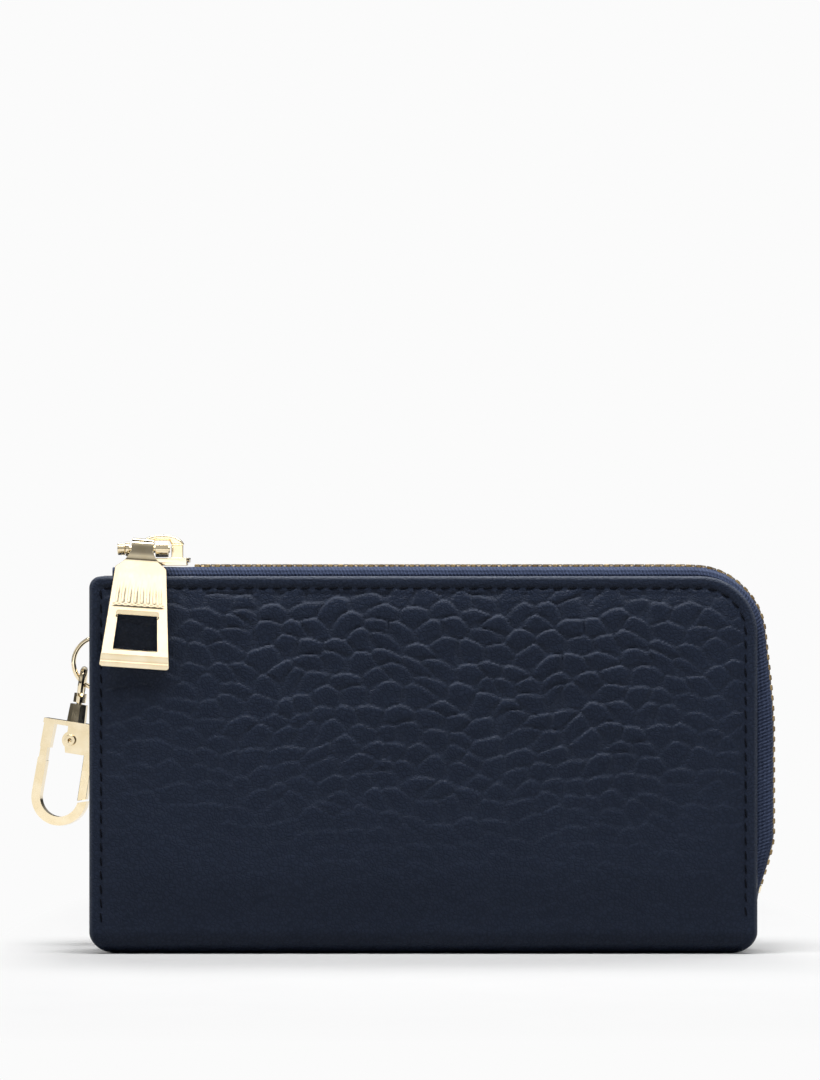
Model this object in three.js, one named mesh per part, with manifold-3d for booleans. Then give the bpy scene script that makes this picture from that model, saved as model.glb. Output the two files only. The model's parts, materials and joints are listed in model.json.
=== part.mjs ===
// A zip-round card holder in pebbled leather, with a pull tab and a swivel clasp on a split ring.
// Millimetres, +Z up. The origin is the centre of the flat base: X runs along the wallet,
// -Y is the front and +Y the back.
import * as THREE from 'three';
import { mergeVertices } from 'three/addons/utils/BufferGeometryUtils.js';
import Module from 'manifold-3d';

const wasm = await Module();
wasm.setup();

// shell
const width = 140.4;
const height = 79.4;
const depth = 18;
const leather = 1.7;
const foldRadius = 5;
const zipCornerRadius = 12;
const topLeftRadius = 2.5;
const bottomCornerRadius = 4.5;
const hingeAngle = 225;
const hingeGapAngle = 5;
const seamGap = 0.1;

// zip
const tapeThickness = 0.5;
const tapeSewn = 8;
const tapeStart = 4.8;
const tapeEnd = 205;
const tapeTurn = { low: 1.1, high: 0.1, drop: 0.6, outerY: 5.4, innerY: 5.2 };
const chainHalfWidth = 2.9;
const chainStart = 21.9;
const chainEnd = 200;
const topLift = 1.6;
const cornerLift = 0.9;
const sideLift = 3.2;
const endLift = -0.2;
const bulgeStart = 21;
const bulgeEnd = 42;
const toothPitch = 2.16;
const toothThickness = 1.8;
const toothMesh = 0.6;
const toothRoot = 0.6;
const toothTip = 0.38;
const toothNeckY = 1;
const cord = { half: 0.5, inner: 1.9 };
const topStopX = [-64, -62.4];
const stopSize = 1.6;
const bottomStopGap = 0.4;
const bottomStopLength = 1.8;

// lining and pockets
const lining = 0.6;
const liningInset = 2.5;
const liningFoot = 6;
const liningLeftGap = 1.2;
const pocketFoot = 7;
const pocketGap = 0.15;
const pocketStep = 0.75;
const pocketCorner = 2;
const cardSlotWidth = 96;
const cardSlotTops = [66, 58, 50, 42];
const slipPocket = { middle: 1, halfSpan: 64, top: 58 };
const gussetWall = 0.9;
const gussetInset = 0.3;
const leftGussetFold = 7.2;
const leftGussetTop = 75.4;
const endGussetFold = 5.6;
const endGussetTop = 9.4;

// slider, link and pull tab
const sliderLeft = -61.8;
const sliderRight = -49.3;
const sliderHalfWidth = 4.6;
const sliderFlare = 0.4;
const plateThickness = 0.95;
const runningGap = 0.35;
const lipThickness = 0.9;
const weld = 0.2;
const rightPost = [-53.2, -50.8];
const leftPost = [-59.4, -57.2];
const postHalfWidth = 1.3;
const crownLow = 85.95;
const crown = { left: -59.9, right: -50.5, top: 88.1, underside: 86.9, halfWidth: 1.7 };
const link = { left: [-62.5, -61.7], right: [-56.2, -53.9], low: 84.5, high: 85.9, barY: 1.65, backY: 2.6 };
const linkBosses = { left: 1.5, right: 1.7, rightEnd: -53.5 };
const pinY = -8.9;
const pinZ = 85.1;
const pinRadius = 0.8;
const pinEnds = [-63.5, -53.2];
const pinHead = { radius: 1.25, ends: [-64.2, -62.6] };
const knuckleX = -58.9;
const knuckleWidth = 4.6;
const knuckleRadius = 2.2;
const tabTilt = THREE.MathUtils.degToRad(4);
const tabThickness = 1.8;
const tabStandoff = 1.5;
const tabPlate = { shoulder: -3.9, shoulderHalf: 5.35, low: -24.6, lowHalf: 7.3, corner: 0.4, neck: -0.6 };
const tabSlot = { low: -21.2, lowHalf: 4.65, high: -13.9, highHalf: 4.1 };
const tabBoreGap = 0.4;

// split ring and swivel clasp
const ringX = -69.1;
const ringY = 11.9;
const ringZ = 60.8;
const ringOuter = 6;
const ringInner = 5;
const ringThickness = 1.8;
const tabLeft = -70;
const tabRight = -66.4;
const loopZ = 65.95;
const loopHole = 1.7;
const loopLeather = 1;
const strapThickness = 2.2;
const strapTopInset = 3;
const claspX = -74.1;
const claspY = 12.4;
const claspZ = 47.6;
const claspTilt = THREE.MathUtils.degToRad(8.5);
const claspYaw = THREE.MathUtils.degToRad(-11);
const eye = { height: 9.1, radius: 2.75, wire: 0.75, neck: 2.4 };
const collar = { radius: 1.35, low: 4.75 };
const post = { radius: 0.6, low: -1.2, high: 5 };
const rivetHead = { radius: 1, low: -1.45, high: -0.85 };
const barrel = { low: 0.45, length: 3.9, top: 1.9, base: 2.1, sides: 8, bore: 0.95 };
const hookDepth = 2.5;
const headDepth = 4.1;
const cheek = 0.7;
const hookLeft = -6.7;
const hookRight = 5.2;
const bow = { u: -1.05, w: 15.8, outer: 6.1, inner: 4.2 };
const gatePivot = { u: -0.2, w: 3.4, lug: 1.9, hole: 1 };
const gateReach = 13;
const gateArm = { halfDepth: 1, boss: 1.5, inner: 2.9, outer: 4.8 };
const gateRivet = { radius: 0.7, halfLength: 2.4, head: 1.15, headThickness: 0.35, bore: 0.4 };
const spring = { halfDepth: 0.7, thickness: 0.3, root: 1.5, tip: 4.4, rootW: 0.82, tipW: 1.5 };

const halfWidth = width / 2;
const halfDepth = depth / 2;
const innerFace = halfDepth - leather;
const foldCentreY = halfDepth - foldRadius;
const tapeOuterY = innerFace - seamGap;
const tapeInnerY = tapeOuterY - tapeThickness;
const liningOuterY = tapeInnerY - seamGap;
const liningInnerY = liningOuterY - lining;
const chainZ = height + topLift;
const topRun = width - zipCornerRadius;
const cornerRun = (Math.PI / 2) * zipCornerRadius;

const rad = THREE.MathUtils.degToRad;
const axisX = new THREE.Vector3(1, 0, 0);
const axisY = new THREE.Vector3(0, 1, 0);
const axisZ = new THREE.Vector3(0, 0, 1);

const finishes = {
  leather: { color: 0x1f2736, roughness: 0.55, metalness: 0 },
  lining: { color: 0x2a3142, roughness: 0.85, metalness: 0 },
  tape: { color: 0x3a4668, roughness: 0.9, metalness: 0 },
  gold: { color: 0xe6c98c, roughness: 0.2, metalness: 1 },
  steel: { color: 0xb9b6ae, roughness: 0.35, metalness: 1 },
};

function part(name, geometry, finish) {
  const mesh = new THREE.Mesh(geometry, new THREE.MeshStandardMaterial(finishes[finish]));
  mesh.name = name;
  return mesh;
}

function toSolid(geometry) {
  const bare = geometry.clone();
  bare.deleteAttribute('normal');
  bare.deleteAttribute('uv');
  const merged = mergeVertices(bare, 1e-5);
  return new wasm.Manifold(
    new wasm.Mesh({
      numProp: 3,
      vertProperties: new Float32Array(merged.attributes.position.array),
      triVerts: new Uint32Array(merged.index.array),
    }),
  );
}

function toGeometry(solid) {
  const mesh = solid.getMesh();
  const geometry = new THREE.BufferGeometry();
  geometry.setAttribute('position', new THREE.BufferAttribute(mesh.vertProperties, 3));
  geometry.setIndex(new THREE.BufferAttribute(mesh.triVerts, 1));
  return geometry;
}

function join(...pieces) {
  return pieces.map(toSolid).reduce((whole, piece) => whole.add(piece));
}

function polygon(points) {
  return new THREE.Shape(points.map(([a, b]) => new THREE.Vector2(a, b)));
}

function extrude(shape, length, segments) {
  return new THREE.ExtrudeGeometry(shape, { depth: length, bevelEnabled: false, curveSegments: segments });
}

// a shape drawn in (y, z), run along x
function alongX(shape, from, to, segments = 8) {
  const turn = new THREE.Matrix4().makeBasis(axisY, axisZ, axisX);
  return extrude(shape, to - from, segments).applyMatrix4(turn).translate(from, 0, 0);
}

// a shape drawn in (x, z), run along y
function alongY(shape, from, to, segments = 8) {
  const turn = new THREE.Matrix4().makeBasis(axisX, axisZ, axisY.clone().negate());
  return extrude(shape, to - from, segments).applyMatrix4(turn).translate(0, to, 0);
}

// a shape drawn in (x, y), run along z
function alongZ(shape, from, to, segments = 8) {
  return extrude(shape, to - from, segments).translate(0, 0, from);
}

function box(low, high) {
  const size = high.map((top, axis) => top - low[axis]);
  const middle = high.map((top, axis) => (top + low[axis]) / 2);
  return new THREE.BoxGeometry(...size).translate(...middle);
}

function rodAlongX(radius, from, to, y, z, sides = 16) {
  return new THREE.CylinderGeometry(radius, radius, to - from, sides)
    .rotateZ(Math.PI / 2)
    .translate((from + to) / 2, y, z);
}

function rodAlongY(radius, from, to, x, z, sides = 16) {
  return new THREE.CylinderGeometry(radius, radius, to - from, sides).translate(x, (from + to) / 2, z);
}

function rodAlongZ(radius, from, to, sides = 16) {
  return new THREE.CylinderGeometry(radius, radius, to - from, sides)
    .rotateX(Math.PI / 2)
    .translate(0, 0, (from + to) / 2);
}

// the wallet's outline in (x, z), drawn in by inset
function panelOutline(inset = 0) {
  const left = -halfWidth + inset;
  const right = halfWidth - inset;
  const top = height - inset;
  const low = inset;
  const zipCorner = zipCornerRadius - inset;
  const sharpest = 0.5;
  const topLeft = Math.max(topLeftRadius - inset, sharpest);
  const bottom = Math.max(bottomCornerRadius - inset, sharpest);
  const shape = new THREE.Shape();
  shape.moveTo(left + bottom, low);
  shape.absarc(right - bottom, low + bottom, bottom, rad(270), rad(360), false);
  shape.absarc(right - zipCorner, top - zipCorner, zipCorner, 0, rad(90), false);
  shape.absarc(left + topLeft, top - topLeft, topLeft, rad(90), rad(180), false);
  shape.absarc(left + bottom, low + bottom, bottom, rad(180), rad(270), false);
  return shape;
}

// a leather profile in (y, z), run along the wallet and trimmed to its outline
function leatherShell(profile) {
  const spare = 1;
  const run = toSolid(alongX(profile, -halfWidth - spare, halfWidth + spare, 12));
  const trim = toSolid(alongY(panelOutline(), -depth, depth, 8));
  return toGeometry(run.intersect(trim));
}

function frontPanel() {
  const end = rad(hingeAngle - hingeGapAngle);
  const profile = new THREE.Shape();
  profile.moveTo(-innerFace, height);
  profile.lineTo(-halfDepth, height);
  profile.absarc(-foldCentreY, foldRadius, foldRadius, rad(180), end, false);
  profile.absarc(-foldCentreY, foldRadius, foldRadius - leather, end, rad(180), true);
  return leatherShell(profile);
}

function backPanel() {
  const start = rad(hingeAngle + hingeGapAngle);
  const profile = new THREE.Shape();
  profile.absarc(-foldCentreY, foldRadius, foldRadius, start, rad(270), false);
  profile.absarc(foldCentreY, foldRadius, foldRadius, rad(270), rad(360), false);
  profile.lineTo(halfDepth, height);
  profile.lineTo(innerFace, height);
  profile.absarc(foldCentreY, foldRadius, foldRadius - leather, rad(360), rad(270), true);
  profile.absarc(-foldCentreY, foldRadius, foldRadius - leather, rad(270), start, true);
  return leatherShell(profile);
}

// side is -1 for the front lining and +1 for the back
function liningSheet(side) {
  const sheet = toSolid(alongY(panelOutline(liningInset), -depth, depth, 6));
  const low = side < 0 ? -liningOuterY : liningInnerY;
  const reach = halfWidth - liningInset;
  const slab = box([-reach + liningLeftGap, low, liningFoot], [reach, low + lining, height]);
  return toGeometry(sheet.intersect(toSolid(slab)));
}

function pocketSheet(low, halfSpan, top, middle = 0) {
  const shape = new THREE.Shape();
  const corner = pocketCorner;
  shape.moveTo(middle - halfSpan, pocketFoot);
  shape.lineTo(middle + halfSpan, pocketFoot);
  shape.absarc(middle + halfSpan - corner, top - corner, corner, 0, rad(90), false);
  shape.absarc(middle - halfSpan + corner, top - corner, corner, rad(90), rad(180), false);
  return alongY(shape, low, low + lining, 4);
}

// a V-folded strip between the two linings, its fold pointing in; side is -1 for the left
function gusset(side, foldDepth, top) {
  const outer = halfWidth - gussetInset;
  const fold = halfWidth - foldDepth;
  const shape = polygon(
    [
      [-outer, -tapeOuterY],
      [-outer + gussetWall, -tapeOuterY],
      [-fold + gussetWall, 0],
      [-outer + gussetWall, tapeOuterY],
      [-outer, tapeOuterY],
      [-fold, 0],
    ].map(([x, y]) => [-side * x, y]),
  );
  return alongZ(shape, liningFoot, top);
}

// how far the zip's chain stands out from the wallet's edge at run t along it
function chainLift(t) {
  const ease = (from, to, low, high) =>
    low + (high - low) * THREE.MathUtils.smoothstep(t, from, to);
  const middleOfCorner = topRun + cornerRun / 2;
  const sideStart = topRun + cornerRun;
  const dropStart = topRun - 4;
  if (t < middleOfCorner) return ease(dropStart, middleOfCorner, topLift, cornerLift);
  if (t < sideStart + bulgeStart) return ease(middleOfCorner, sideStart + bulgeStart, cornerLift, sideLift);
  return ease(sideStart + bulgeEnd, tapeEnd, sideLift, endLift);
}

// the wallet's edge at run t: along the top from the left, round the corner and down the right side
function edgeAt(t) {
  const centreX = halfWidth - zipCornerRadius;
  const centreZ = height - zipCornerRadius;
  if (t < topRun) return { x: t - halfWidth, z: height, out: rad(90) };
  const turned = Math.min((t - topRun) / zipCornerRadius, Math.PI / 2);
  const out = Math.PI / 2 - turned;
  const past = Math.max(t - topRun - cornerRun, 0);
  return {
    x: centreX + zipCornerRadius * Math.cos(out),
    z: centreZ + zipCornerRadius * Math.sin(out) - past,
    out,
  };
}

function offEdge(t, away) {
  const edge = edgeAt(t);
  return new THREE.Vector3(edge.x + away * Math.cos(edge.out), 0, edge.z + away * Math.sin(edge.out));
}

// stations along the zip: close together where it curves
function zipStations(from, to) {
  const stations = [];
  const bendStart = topRun - 6;
  const straightStep = 16;
  const bendStep = 2.4;
  let t = from;
  while (t < to) {
    stations.push(t);
    t += t < bendStart ? straightStep : bendStep;
    if (t > bendStart - straightStep && t < bendStart) t = bendStart;
  }
  stations.push(to);
  return stations;
}

// a closed strip along the zip: section(t) lists (distance out from the edge, y) points
function sweepAlongZip(from, to, section) {
  const stations = zipStations(from, to);
  const outline = section(from).map(([away, y]) => new THREE.Vector2(away, y));
  const backwards = THREE.ShapeUtils.isClockWise(outline);
  if (backwards) outline.reverse();
  const sides = outline.length;
  const positions = [];
  for (const t of stations) {
    const points = section(t);
    if (backwards) points.reverse();
    for (const [away, y] of points) {
      const point = offEdge(t, away);
      positions.push(point.x, y, point.z);
    }
  }
  const index = [];
  for (let ring = 0; ring < stations.length - 1; ring++) {
    for (let side = 0; side < sides; side++) {
      const a = ring * sides + side;
      const b = ring * sides + ((side + 1) % sides);
      index.push(a, b, a + sides, b, b + sides, a + sides);
    }
  }
  const last = (stations.length - 1) * sides;
  for (const [a, b, c] of THREE.ShapeUtils.triangulateShape(outline, [])) {
    index.push(a, c, b, last + a, last + b, last + c);
  }
  return outward(positions, index);
}

function outward(positions, index) {
  const at = (i) => new THREE.Vector3().fromArray(positions, i * 3);
  let volume = 0;
  for (let i = 0; i < index.length; i += 3) {
    volume += at(index[i]).dot(at(index[i + 1]).cross(at(index[i + 2])));
  }
  const faces = volume < 0 ? index.slice().reverse() : index;
  const geometry = new THREE.BufferGeometry();
  geometry.setAttribute('position', new THREE.Float32BufferAttribute(positions, 3));
  geometry.setIndex(faces);
  return geometry;
}

// woven tape: sewn flat behind the leather, then turned over towards the chain
function zipTape(side) {
  const half = tapeThickness / 2;
  const edge = chainHalfWidth + seamGap / 2;
  const turn = tapeTurn;
  return sweepAlongZip(tapeStart, tapeEnd, (t) => {
    const lift = chainLift(t);
    const points = [
      [-tapeSewn, tapeOuterY],
      [lift - turn.low, tapeOuterY],
      [lift - turn.high, tapeOuterY - turn.drop],
      [lift + half, turn.outerY],
      [lift + half, edge],
      [lift - half, edge],
      [lift - half, turn.innerY],
      [lift - turn.high - half * 2, tapeInnerY - half * 2],
      [lift - turn.low - seamGap * 3, tapeInnerY],
      [-tapeSewn, tapeInnerY],
    ];
    return points.map(([away, y]) => [away, side * y]);
  });
}

// the run t at every step of arc length along the chain
function chainSteps(step, offset) {
  const places = [];
  const fine = 0.1;
  let gone = 0;
  let wanted = offset;
  let before = offEdge(chainStart, chainLift(chainStart));
  for (let t = chainStart; t < chainEnd; t += fine) {
    const here = offEdge(t, chainLift(t));
    gone += here.distanceTo(before);
    before = here;
    if (gone >= wanted) {
      places.push(t);
      wanted += step;
    }
  }
  return places;
}

function tooth(t, side) {
  const near = 0.2;
  const here = offEdge(t, chainLift(t));
  const travel = offEdge(t + near, chainLift(t + near))
    .sub(offEdge(t - near, chainLift(t - near)))
    .normalize();
  const out = new THREE.Vector3().crossVectors(travel, axisY);
  const shape = polygon(
    [
      [-toothRoot, -chainHalfWidth],
      [toothRoot, -chainHalfWidth],
      [toothRoot, -toothNeckY],
      [toothTip, toothMesh],
      [-toothTip, toothMesh],
      [-toothRoot, -toothNeckY],
    ].map(([along, y]) => [along, -side * y]),
  );
  const place = new THREE.Matrix4().makeBasis(travel, axisY, out).setPosition(here);
  return extrude(shape, toothThickness, 1).translate(0, 0, -toothThickness / 2).applyMatrix4(place);
}

// one row of teeth on its corded edge
function toothRow(side) {
  const spine = sweepAlongZip(chainStart, chainEnd, (t) => {
    const lift = chainLift(t);
    const outer = chainHalfWidth - seamGap;
    return [
      [lift - cord.half, side * cord.inner],
      [lift + cord.half, side * cord.inner],
      [lift + cord.half, side * outer],
      [lift - cord.half, side * outer],
    ];
  });
  const offset = side < 0 ? toothRoot : toothRoot + toothPitch / 2;
  const teeth = chainSteps(toothPitch, offset).map((t) => tooth(t, side));
  return toGeometry(join(spine, ...teeth));
}

function topStop(side) {
  const low = side < 0 ? -chainHalfWidth : chainHalfWidth - stopSize;
  const half = stopSize / 2;
  return box([topStopX[0], low, chainZ - half], [topStopX[1], low + stopSize, chainZ + half]);
}

function bottomStop() {
  const start = chainEnd + bottomStopGap;
  const half = stopSize / 2;
  const reach = chainHalfWidth - seamGap;
  return sweepAlongZip(start, start + bottomStopLength, (t) => {
    const lift = chainLift(t);
    return [
      [lift - half, -reach],
      [lift + half, -reach],
      [lift + half, reach],
      [lift - half, reach],
    ];
  });
}

// drawn as half an outline and mirrored: wide where the two rows part, narrower where they mesh
function sliderPlate(low) {
  const wide = sliderHalfWidth + sliderFlare;
  const half = [
    [sliderLeft, sliderHalfWidth - 0.5],
    [sliderLeft + 0.8, wide],
    [sliderLeft + 5, wide],
    [sliderRight - 3, sliderHalfWidth],
    [sliderRight - 0.6, sliderHalfWidth],
    [sliderRight, sliderHalfWidth - 0.7],
  ];
  const mirrored = half.map(([x, y]) => [x, -y]);
  return alongZ(polygon([...mirrored, ...half.reverse()]), low, low + plateThickness);
}

// the wedge that parts the two rows of teeth
function sliderDivider(low, high) {
  const half = [
    [sliderLeft + 0.3, 0.5],
    [sliderLeft + 2, 1],
    [sliderLeft + 4.4, 0.3],
  ];
  const mirrored = half.map(([x, y]) => [x, -y]);
  return alongZ(polygon([...mirrored, ...half.reverse()]), low, high);
}

// two plates with lips that run on both tapes, a divider between the rows, and posts for the crown
function sliderBody() {
  const channel = toothThickness / 2 + runningGap;
  const slot = tapeThickness / 2 + runningGap;
  const plateLow = chainZ + channel;
  const postLow = plateLow + plateThickness - weld;
  const postHigh = crownLow - seamGap / 2;
  const ends = [sliderLeft + 0.8, sliderRight - 0.6];
  const lips = [];
  for (const side of [-1, 1]) {
    const lipY = side < 0 ? -sliderHalfWidth : sliderHalfWidth - lipThickness;
    const lipEndY = lipY + lipThickness;
    lips.push(box([ends[0], lipY, chainZ + slot], [ends[1], lipEndY, plateLow + weld]));
    lips.push(box([ends[0], lipY, chainZ - channel - weld], [ends[1], lipEndY, chainZ - slot]));
  }
  const posts = [rightPost, leftPost].map(([from, to]) =>
    box([from, -postHalfWidth, postLow], [to, postHalfWidth, postHigh]),
  );
  return toGeometry(
    join(
      sliderPlate(plateLow),
      sliderPlate(chainZ - channel - plateThickness),
      ...lips,
      sliderDivider(chainZ - channel - weld, plateLow + weld),
      ...posts,
    ),
  );
}

// the bridge over the posts; the link passes under it
function sliderCrown() {
  const middle = (crown.left + crown.right) / 2;
  const shoulder = 0.9;
  const shape = new THREE.Shape();
  shape.moveTo(rightPost[0], crownLow);
  shape.lineTo(crown.right, crownLow);
  shape.quadraticCurveTo(crown.right - shoulder, crown.top - 0.05, middle, crown.top);
  shape.quadraticCurveTo(crown.left + shoulder, crown.top - 0.05, crown.left, crownLow);
  shape.lineTo(leftPost[1], crownLow);
  shape.lineTo(leftPost[1] + 0.4, crown.underside);
  shape.lineTo(rightPost[0] - 0.4, crown.underside);
  return alongY(shape, -crown.halfWidth, crown.halfWidth, 6);
}

// a loop through the slider's eye: two legs reach forward to the pin
function pullLink() {
  const { left, right, low, high, barY, backY } = link;
  const loop = join(
    box([left[0], pinY, low], [left[1], backY, high]),
    box([right[0], pinY, low], [right[1], backY, high]),
    box([left[0], barY, low], [right[1], backY, high]),
    rodAlongX(linkBosses.left, left[0], left[1], pinY, pinZ),
    rodAlongX(linkBosses.right, right[0], linkBosses.rightEnd, pinY, pinZ),
  );
  const bore = rodAlongX(pinRadius + seamGap, left[0] - 2.5, right[1] + 3.9, pinY, pinZ);
  return toGeometry(loop.subtract(toSolid(bore)));
}

function pullPin() {
  return toGeometry(
    join(
      rodAlongX(pinRadius, pinEnds[0], pinEnds[1], pinY, pinZ),
      rodAlongX(pinHead.radius, pinHead.ends[0], pinHead.ends[1], pinY, pinZ),
    ),
  );
}

// a flared plate under a neck as wide as the knuckle
function tabOutline() {
  const neckHalf = knuckleWidth / 2;
  const plate = tabPlate;
  const bendX = neckHalf + 0.4;
  const bendZ = plate.neck - 2;
  const foot = plate.low - plate.corner;
  const outline = new THREE.Shape();
  outline.moveTo(-neckHalf, knuckleRadius);
  outline.lineTo(-neckHalf, plate.neck);
  outline.quadraticCurveTo(-bendX, bendZ, -plate.shoulderHalf, plate.shoulder);
  outline.lineTo(-plate.lowHalf, plate.low);
  outline.lineTo(-plate.lowHalf + plate.corner, foot);
  outline.lineTo(plate.lowHalf - plate.corner, foot);
  outline.lineTo(plate.lowHalf, plate.low);
  outline.lineTo(plate.shoulderHalf, plate.shoulder);
  outline.quadraticCurveTo(bendX, bendZ, neckHalf, plate.neck);
  outline.lineTo(neckHalf, knuckleRadius);
  return outline;
}

// drawn hanging straight from the pin at the origin; the slot takes a finger or a strap
function pullTab() {
  const front = -knuckleRadius - tabStandoff;
  const back = front + tabThickness;
  const half = knuckleWidth / 2;
  const reach = 8;
  const plate = box([-reach, front, -26], [reach, back, -0.8]);
  const web = polygon([
    [front, -4.5],
    [back, -4.5],
    [-0.6, -2],
    [-2.1, 0.6],
    [front + 0.3, -0.7],
  ]);
  const slot = polygon([
    [-tabSlot.lowHalf, tabSlot.low],
    [tabSlot.lowHalf, tabSlot.low],
    [tabSlot.highHalf, tabSlot.high],
    [-tabSlot.highHalf, tabSlot.high],
  ]);
  const bore = rodAlongX(pinRadius + tabBoreGap, -reach - 1, reach + 1, 0, 0);
  const solid = toSolid(plate)
    .intersect(toSolid(alongY(tabOutline(), -reach, reach, 5)))
    .add(toSolid(alongX(web, -half, half)))
    .add(toSolid(rodAlongX(knuckleRadius, -half, half, 0, 0, 20)))
    .subtract(toSolid(alongY(slot, -reach, reach)))
    .subtract(toSolid(bore));
  return toGeometry(solid);
}

// a leather strip sewn to the back, looped round the ring's wire
function ringTab() {
  const outer = loopHole + loopLeather;
  const face = halfDepth + seamGap;
  const top = height - strapTopInset;
  const strap = alongX(
    polygon([
      [face, loopZ + 0.5],
      [face + 0.4, loopZ - 0.8],
      [ringY + outer - 0.15, loopZ + 0.8],
      [face + strapThickness, loopZ + 5],
      [face + strapThickness, top],
      [face, top],
    ]),
    tabLeft,
    tabRight,
  );
  const solid = join(strap, rodAlongX(outer, tabLeft, tabRight, ringY, loopZ, 20));
  const hole = toSolid(rodAlongX(loopHole, tabLeft - 1, tabRight + 1, ringY, loopZ, 20));
  return toGeometry(solid.subtract(hole));
}

function splitRing() {
  const half = ringThickness / 2;
  const corners = [
    [ringInner, -half],
    [ringOuter, -half],
    [ringOuter, half],
    [ringInner, half],
    [ringInner, -half],
  ];
  return new THREE.LatheGeometry(corners.map(([r, h]) => new THREE.Vector2(r, h)), 40);
}

// the clasp's own frame: u across the hook, w down along it, y through it
function across(points) {
  return points.map(([u, w]) => [u, -w]);
}

function swivelEye() {
  const loop = new THREE.TorusGeometry(eye.radius, eye.wire, 8, 20)
    .rotateY(Math.PI / 2)
    .translate(0, 0, eye.height);
  return toGeometry(
    join(
      loop,
      rodAlongZ(collar.radius, collar.low, eye.height - eye.neck, 12),
      rodAlongZ(post.radius, post.low, post.high, 12),
      rodAlongZ(rivetHead.radius, rivetHead.low, rivetHead.high, 12),
    ),
  );
}

// the round bow, from the square corner's neck round to the gate's tip
function hookBow() {
  const gateTip = Math.atan2(0.6, bow.inner);
  const rod = new THREE.Shape();
  rod.moveTo(-5.05, -8.6);
  rod.lineTo(-6.95, -8);
  rod.absarc(bow.u, -bow.w, bow.outer, rad(180), rad(360), false);
  rod.absarc(bow.u, -bow.w, bow.inner, -gateTip, rad(180), true);
  return rod;
}

// one of two plates that hold the gate's rivet between them
function cheekOutline() {
  const top = -0.3;
  const foot = -6.2;
  const outline = new THREE.Shape();
  outline.moveTo(hookRight, top);
  outline.lineTo(gatePivot.u - 1, top);
  outline.absarc(gatePivot.u, -gatePivot.w, gatePivot.lug, rad(120), rad(235), false);
  outline.lineTo(-1, foot);
  outline.lineTo(hookRight, foot);
  return outline;
}

function hookBody() {
  const half = hookDepth / 2;
  const head = headDepth / 2;
  const barHalf = 0.5;
  const bar = across([
    [hookLeft, -barHalf],
    [hookLeft, barHalf],
    [hookRight, barHalf],
    [hookRight, -barHalf],
  ]);
  const corner = across([
    [hookLeft, 0.3],
    [hookLeft - 0.15, 5.7],
    [-4.7, 5.7],
    [-4.4, 0.3],
  ]);
  const neck = across([
    [hookLeft, 5.5],
    [hookLeft - 0.05, 8.3],
    [-5.2, 8.7],
    [-5.2, 5.5],
  ]);
  const cheeks = [-head, head - cheek].map((low) => alongY(cheekOutline(), low, low + cheek, 8));
  const sleeve = new THREE.CylinderGeometry(barrel.top, barrel.base, barrel.length, barrel.sides)
    .rotateX(Math.PI / 2)
    .rotateZ(Math.PI / barrel.sides)
    .translate(0, 0, barrel.low + barrel.length / 2);
  const whole = join(
    alongY(polygon(bar), -head, head),
    alongY(polygon(corner), -half, half),
    alongY(polygon(neck), -half, half),
    alongY(hookBow(), -half, half, 14),
    ...cheeks,
    sleeve,
  );
  const bore = toSolid(rodAlongZ(barrel.bore, -2, 6, 16));
  const pinHole = toSolid(rodAlongY(gatePivot.hole, -4, 4, gatePivot.u, -gatePivot.w));
  return toGeometry(whole.subtract(bore).subtract(pinHole));
}

// a hollow rivet through both cheeks
function gatePin() {
  const end = gateRivet.halfLength;
  const head = end + gateRivet.headThickness;
  const rivet = join(
    rodAlongY(gateRivet.radius, -end, end, gatePivot.u, -gatePivot.w),
    rodAlongY(gateRivet.head, -head, -end, gatePivot.u, -gatePivot.w),
    rodAlongY(gateRivet.head, end, head, gatePivot.u, -gatePivot.w),
  );
  return toGeometry(rivet.subtract(toSolid(rodAlongY(gateRivet.bore, -4, 4, gatePivot.u, -gatePivot.w, 12))));
}

// a leaf between the top bar and the gate
function gateSpring() {
  const leaf = across([
    [spring.root, spring.rootW],
    [spring.root, spring.rootW + spring.thickness],
    [spring.tip, spring.tipW + spring.thickness],
    [spring.tip, spring.tipW],
  ]);
  return alongY(polygon(leaf), -spring.halfDepth, spring.halfDepth);
}

// its end is cut to an arc about the pivot, so that it clears the bow as it opens
function gateLever() {
  const { inner, outer, halfDepth: half, boss } = gateArm;
  const tipAt = (u) => gatePivot.w + Math.sqrt(gateReach ** 2 - (u - gatePivot.u) ** 2);
  const shoulder = 2.2;
  const arm = polygon(
    across([
      [gatePivot.u, shoulder],
      [outer - 0.4, shoulder],
      [outer, shoulder + 0.5],
      [outer, tipAt(outer)],
      [inner, tipAt(inner)],
      [inner, 5.4],
      [gatePivot.u, gatePivot.w + boss],
    ]),
  );
  const whole = join(alongY(arm, -half, half), rodAlongY(boss, -half, half, gatePivot.u, -gatePivot.w));
  return toGeometry(whole.subtract(toSolid(rodAlongY(gatePivot.hole, -4, 4, gatePivot.u, -gatePivot.w))));
}

function shellGroup() {
  const group = new THREE.Group();
  group.add(part('back_panel', backPanel(), 'leather'));
  group.add(part('back_lining', liningSheet(1), 'lining'));
  group.add(part('back_zip_tape', zipTape(1), 'tape'));
  group.add(part('back_teeth', toothRow(1), 'gold'));
  group.add(part('back_top_stop', topStop(1), 'gold'));
  group.add(part('zip_bottom_stop', bottomStop(), 'gold'));
  group.add(part('left_gusset', gusset(-1, leftGussetFold, leftGussetTop), 'leather'));
  group.add(part('zip_end_gusset', gusset(1, endGussetFold, endGussetTop), 'leather'));
  cardSlotTops.forEach((top, row) => {
    const low = liningInnerY - lining - pocketGap - row * pocketStep;
    group.add(part(`card_slot_${row + 1}`, pocketSheet(low, cardSlotWidth / 2, top), 'lining'));
  });
  group.add(part('ring_tab', ringTab(), 'leather'));
  return group;
}

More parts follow.
